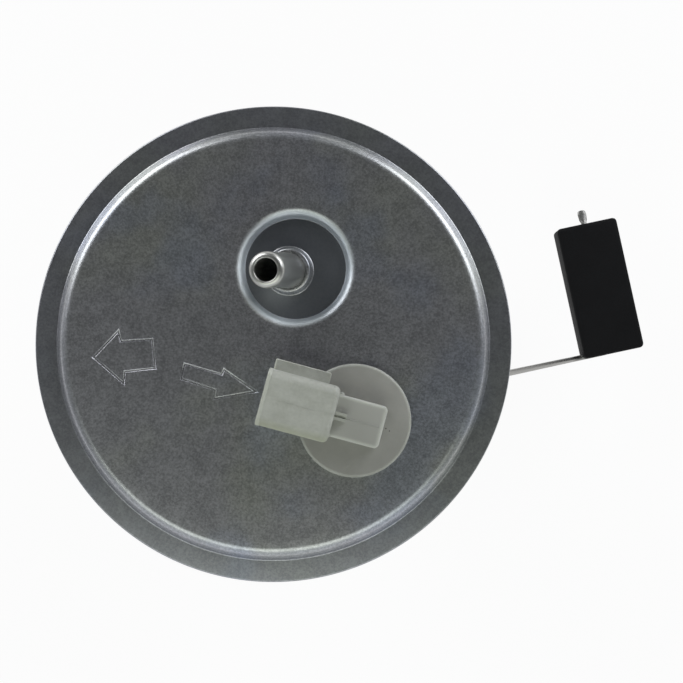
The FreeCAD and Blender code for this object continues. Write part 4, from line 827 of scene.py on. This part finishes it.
# %% Wire arm
WIRE_R = 1.0
WIRE_SIDES = 24
WIRE_BENDS = (5.0, 5.0, 3.0)
HUB_REACH = 5.0
TIP_START = 0.3
TIP_SECTIONS = ((0.5, 1.05, 0.95), (1.0, 1.4, 0.55), (2.1, 1.12, 0.85), (1.2, 0.9, 0.9), (0.5, 0.55, 0.8))
ARM_V = -21.4
PIVOT = (15.0, -62.0)
KNEE = (58.0, -55.0)
ANKLE = (104.5, -176.5)
BORE_U = 119.6
FLOAT_V = (-22.3, 27.9)
FLOAT_U = (108.1, 131.1)
FLOAT_Z = (-183.0, -170.0)


def bent_run(points, radii, steps=10):
    """Places along straight runs joined by arcs."""
    places = [points[0]]
    for before, corner, after, radius in zip(points, points[1:], points[2:], radii):
        inward = (before - corner).normalized()
        onward = (after - corner).normalized()
        half = inward.angle(onward) / 2
        centre = corner + (inward + onward).normalized() * (radius / math.sin(half))
        start = corner + inward * (radius / math.tan(half)) - centre
        end = corner + onward * (radius / math.tan(half)) - centre
        for step in range(steps + 1):
            places.append(centre + start.slerp(end, step / steps, start).normalized() * radius)
    places.append(points[-1])
    return places


def wire_arm():
    """Bent wire with a flattened end."""
    start = Vector((PIVOT[0], ARM_V, PIVOT[1]))
    knee = Vector((KNEE[0], ARM_V, KNEE[1]))
    route = [
        start + (knee - start).normalized() * HUB_REACH,
        knee,
        Vector((ANKLE[0], ARM_V, ANKLE[1])),
        Vector((BORE_U, ARM_V, ANKLE[1])),
        Vector((BORE_U, FLOAT_V[1] + TIP_START, ANKLE[1])),
    ]
    places = bent_run(route, WIRE_BENDS)
    edit = bmesh.new()
    heading = (places[1] - places[0]).normalized()
    side = Vector((0, 1, 0))
    ring = [places[0] + (side * math.cos(t) + heading.cross(side) * math.sin(t)) * WIRE_R
            for t in (2 * math.pi * step / WIRE_SIDES for step in range(WIRE_SIDES))]
    verts, edges = chain(edit, [hung(*place) for place in ring], closed=True)
    edit.faces.new(verts)
    for here, following, onward in zip(places, places[1:], places[2:] + [None]):
        moved, edges = next_ring(edit, edges)
        bmesh.ops.translate(edit, verts=moved, vec=hung(*following) - hung(*here))
        if onward is not None:
            arrive = hung(*following) - hung(*here)
            leave = hung(*onward) - hung(*following)
            turn = arrive.rotation_difference(leave).to_matrix()
            bmesh.ops.rotate(edit, verts=moved, cent=hung(*following), matrix=turn)
    middle = hung(BORE_U, FLOAT_V[1] + TIP_START, ANKLE[1])
    for reach, wide, thin in TIP_SECTIONS:
        moved, edges = next_ring(edit, edges)
        step = hung(0, reach, 0) - hung(0, 0, 0)
        middle = middle + step
        bmesh.ops.translate(edit, verts=moved, vec=step)
        place = Matrix.Translation(middle) @ Matrix.Rotation(HANGER_TURN, 4, "Z")
        stretch = Matrix.Diagonal((wide, 1.0, thin, 1.0))
        bmesh.ops.transform(edit, matrix=place @ stretch @ place.inverted(), verts=moved)
    edit.faces.new(ordered_loop(edges))
    return finish_piece("arm_wire", edit, WIRE_STEEL, "float_lever", ["float_arm"])


def ordered_loop(edges):
    """Vertices of a closed loop of edges, in order."""
    remaining = list(edges)
    edge = remaining.pop(0)
    loop = [edge.verts[0], edge.verts[1]]
    while remaining:
        following = next(e for e in remaining if loop[-1] in e.verts)
        remaining.remove(following)
        other = following.other_vert(loop[-1])
        if other is not loop[0]:
            loop.append(other)
    return loop


wire_arm()

# %% [markdown]
# The float is a sawn and tumbled block of foam with soft edges, pushed onto the end of the wire.

# %% Float
FLOAT_EDGE = 1.6


def foam_float():
    """Block with rounded edges."""
    edit = bmesh.new()
    bmesh.ops.create_cube(edit, size=1.0)
    size = Vector((FLOAT_U[1] - FLOAT_U[0], FLOAT_V[1] - FLOAT_V[0], FLOAT_Z[1] - FLOAT_Z[0]))
    bmesh.ops.scale(edit, vec=size * MM, verts=edit.verts[:])
    bmesh.ops.bevel(edit, geom=edit.edges[:], offset=FLOAT_EDGE * MM, segments=5, profile=0.5, affect="EDGES",
                    material=-1, clamp_overlap=True)
    middle = Vector((sum(FLOAT_U) / 2, sum(FLOAT_V) / 2, sum(FLOAT_Z) / 2))
    bmesh.ops.rotate(edit, verts=edit.verts[:], cent=(0, 0, 0), matrix=Matrix.Rotation(HANGER_TURN, 3, "Z"))
    bmesh.ops.translate(edit, verts=edit.verts[:], vec=hung(*middle))
    return finish_piece("foam_block", edit, FOAM, "float_lever", ["float"], crease=60.0)


foam_float()

# %% [markdown]
# The filter bag is two sheets of woven nylon, welded round the edge and blown apart by a spacer inside.
# Its outline is inset ring by ring, and each ring stands higher than the last.

# %% Strainer bag
BAG_CORNERS = ((-16.0, -15.0, 16.0), (74.0, -15.0, 16.0), (74.0, 33.0, 16.0), (-16.0, 33.0, 16.0))
BAG_MIDDLE_Z = -191.3
BAG_WELD_HALF = 0.35
BAG_RINGS = ((0.4, 0.55), (2.3, 0.6), (0.5, 1.0), (0.8, 2.3), (1.2, 3.6), (1.8, 4.8), (2.4, 5.5), (3.0, 5.95))


def strainer_bag():
    """Pillow of cloth with a welded edge."""
    edit = bmesh.new()
    edges = []
    outline = rounded_loop(BAG_CORNERS, steps=16)
    for side in (1, -1):
        level = BAG_MIDDLE_Z + side * BAG_WELD_HALF
        verts, loop = chain(edit, [hung(point.x, point.y, level) for point in outline], closed=True)
        edges += loop
        face = edit.faces.new(verts)
        face.normal_update()
        for inset, rise in BAG_RINGS:
            bmesh.ops.inset_region(edit, faces=[face], thickness=inset * MM, use_even_offset=True,
                                   use_boundary=True)
            for vert in face.verts:
                vert.co.z = (BAG_MIDDLE_Z + side * rise) * MM
    bmesh.ops.bridge_loops(edit, edges=edges)
    return finish_piece("cloth_bag", edit, CLOTH, "hanger", ["strainer_bag"], crease=50.0)


strainer_bag()

# %% [markdown]
# The springs are wound wire inside the measured outline. The two valve springs each get a mesh of
# their own.

# %% Springs
COIL_SIDES = 10
COIL_STEPS = 28
BRUSH_SPRINGS = ((8.92, 14.65), (-1.06, 9.56))


def coil(edit, centre, outer, wire, low, high, turns):
    """One helix of round wire between two heights, with its outside at the outer radius."""
    x, y = centre
    start = Vector((x + outer - wire, y, low + wire)) * MM
    ring = bmesh.ops.create_circle(edit, segments=COIL_SIDES, radius=wire * MM, cap_ends=False,
                                   matrix=Matrix.Translation(start) @ Matrix.Rotation(math.pi / 2, 4, "X"))
    edges = list({edge for vert in ring["verts"] for edge in vert.link_edges})
    steps = turns * COIL_STEPS
    climb = Vector((0, 0, (high - low - 2 * wire) / steps)) * MM
    bmesh.ops.spin(edit, geom=ring["verts"] + edges, cent=Vector((x, y, 0)) * MM, axis=UP, dvec=climb,
                   angle=turns * 2 * math.pi, steps=steps)
    bmesh.ops.holes_fill(edit, edges=[edge for edge in edit.edges if edge.is_boundary], sides=COIL_SIDES)


def spring(name, node, coils):
    """Piece with one coil or more, for one measured node."""
    edit = bmesh.new()
    for values in coils:
        coil(edit, *values)
    return finish_piece(name, edit, FINISHES["steel"], "hanger", [node], crease=70.0)


valve_spring = spring("valve_coil", "check_valve_spring",
                      [((1.08, 21.64), 2.55, 0.35, -100.4, -91.55, 6)])
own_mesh(valve_spring)
relief_coil = spring("relief_coil", "relief_spring", [((-5.87, 7.11), 1.65, 0.3, -110.05, -107.25, 3)])
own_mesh(relief_coil)
spring("brush_coils", "brush_springs", [(place, 1.45, 0.28, -114.1, -109.25, 6) for place in BRUSH_SPRINGS])

# %% [markdown]
# Moulding marks of the connector: a lip round the socket's mouth, the parting line over its top, a thin
# ridge along the column and the stub of the gate beside it.

# %% Marks on the connector
MOUTH_Y = (-22.3, -7.1)
MOUTH_Z = (8.1, 24.3)
MOUTH_CORNER = 2.6
LIP_SECTIONS = ((1.86, -0.05), (1.90, 0.12), (2.72, 0.12), (2.84, -0.05))
PARTING_DASHES = ((5.4, 7.1), (7.9, 10.3), (10.8, 11.7), (12.6, 15.9))


def bar(edit, low, high, soft):
    """Box between two corners in mm, with its edges bevelled."""
    made = bmesh.ops.create_cube(edit, size=1.0)["verts"]
    size = Vector(high) - Vector(low)
    bmesh.ops.scale(edit, vec=size * MM, verts=made)
    bmesh.ops.translate(edit, verts=made, vec=(Vector(high) + Vector(low)) * (MM / 2))
    edges = list({edge for vert in made for edge in vert.link_edges})
    bmesh.ops.bevel(edit, geom=edges, offset=soft * MM, segments=2, profile=0.5, affect="EDGES",
                    material=-1, clamp_overlap=True)


def mouth_lip(edit):
    """Low band round the socket behind its mouth."""
    loops = []
    for x, proud in LIP_SECTIONS:
        low_y, high_y = MOUTH_Y[0] - proud, MOUTH_Y[1] + proud
        low_z, high_z = MOUTH_Z[0] - proud, MOUTH_Z[1] + proud
        radius = MOUTH_CORNER + proud
        corners = [(low_y, low_z, radius), (high_y, low_z, radius), (high_y, high_z, radius),
                   (low_y, high_z, radius)]
        places = [Vector((x, point.x, point.y)) * MM for point in rounded_loop(corners, steps=8)]
        loops.append(chain(edit, places, closed=True)[1])
    for first, second in zip(loops, loops[1:]):
        bmesh.ops.bridge_loops(edit, edges=first + second)


def connector_marks():
    """Lip, parting line, ridge and gate stub."""
    edit = bmesh.new()
    mouth_lip(edit)
    for start, end in PARTING_DASHES:
        bar(edit, (start, -14.85, 24.2), (end, -14.65, 24.34), 0.04)
    bar(edit, (24.3, -14.85, 13.8), (33.9, -14.55, 13.99), 0.08)
    bar(edit, (21.0, -9.6, 9.0), (22.4, -8.2, 13.2), 0.5)
    return finish_piece("connector_marks", edit, SOCKET, "hanger", crease=60.0)


connector_marks()

# %% [markdown]
# The object hangs from its rim, so the pale floor lies just below the strainer. Most of what the camera
# sees of the floor is its own white, and the rest is real light, so that a faint shadow stays.

# %% Floor and world
FLOOR_HALF = 3.0
FLOOR_GAP = 0.012
FLOOR_GLOW = 0.94
SIDE_GLOW = 0.20
LOWER_GLOW = 0.50
CEILING_GLOW = 0.045


def pale_floor():
    """Wide white plane below the object."""
    edit = bmesh.new()
    bmesh.ops.create_grid(edit, x_segments=1, y_segments=1, size=FLOOR_HALF)
    bmesh.ops.translate(edit, verts=edit.verts[:], vec=(0, 0, CAD_BOX[0][2] - FLOOR_GAP))
    data = bpy.data.meshes.new("floor")
    edit.to_mesh(data)
    edit.free()
    floor = bpy.data.objects.new("floor", data)
    bpy.context.collection.objects.link(floor)
    finish = Finish("floor_white")
    tree = finish.tree
    finish.set(Base_Color=colour(0.9, 0.9, 0.9), Roughness=0.9)
    glow = finish.node("ShaderNodeEmission", Color=colour(1, 1, 1), Strength=1.0)
    path = finish.node("ShaderNodeLightPath")
    seen = finish.wire(path.outputs["Is Camera Ray"]) + finish.wire(path.outputs["Is Glossy Ray"])
    seen = (seen + finish.wire(path.outputs["Is Transmission Ray"])).clamped() * FLOOR_GLOW
    blend = tree.nodes.new("ShaderNodeMixShader")
    tree.links.new(seen.socket, blend.inputs[0])
    tree.links.new(finish.shader.outputs[0], blend.inputs[1])
    tree.links.new(glow.outputs[0], blend.inputs[2])
    tree.links.new(blend.outputs[0], tree.nodes["Material Output"].inputs["Surface"])
    data.materials.append(finish.material)


def pale_world():
    """White tent round a dark ceiling: dim overhead, pale towards the sides, white to the camera."""
    world = bpy.data.worlds.new("studio")
    bpy.context.scene.world = world
    world.use_nodes = True
    tree = world.node_tree
    path = tree.nodes.new("ShaderNodeLightPath")
    heading = tree.nodes.new("ShaderNodeSeparateXYZ")
    tree.links.new(tree.nodes.new("ShaderNodeTexCoord").outputs["Generated"], heading.inputs[0])
    sideways = 1.0 - Wire(tree, heading.outputs["Z"]).step(0.20, 0.92)
    toward = along(PHOTO_TURN - math.pi / 2)
    lower = Wire(tree, heading.outputs["X"]) * toward.x + Wire(tree, heading.outputs["Y"]) * toward.y
    background = tree.nodes["Background"]
    background.inputs["Color"].default_value = colour(0.93, 0.97, 1.0)
    glow = sideways * SIDE_GLOW + lower.step(0.25, 0.95) * LOWER_GLOW + CEILING_GLOW
    tree.links.new(glow.socket, background.inputs["Strength"])
    white = tree.nodes.new("ShaderNodeBackground")
    white.inputs["Color"].default_value = colour(1, 1, 1)
    blend = tree.nodes.new("ShaderNodeMixShader")
    tree.links.new(path.outputs["Is Camera Ray"], blend.inputs[0])
    tree.links.new(background.outputs[0], blend.inputs[1])
    tree.links.new(white.outputs[0], blend.inputs[2])
    tree.links.new(blend.outputs[0], tree.nodes["World Output"].inputs["Surface"])


pale_floor()
pale_world()
bpy.context.scene.view_settings.view_transform = "Standard"
print("stage ready")
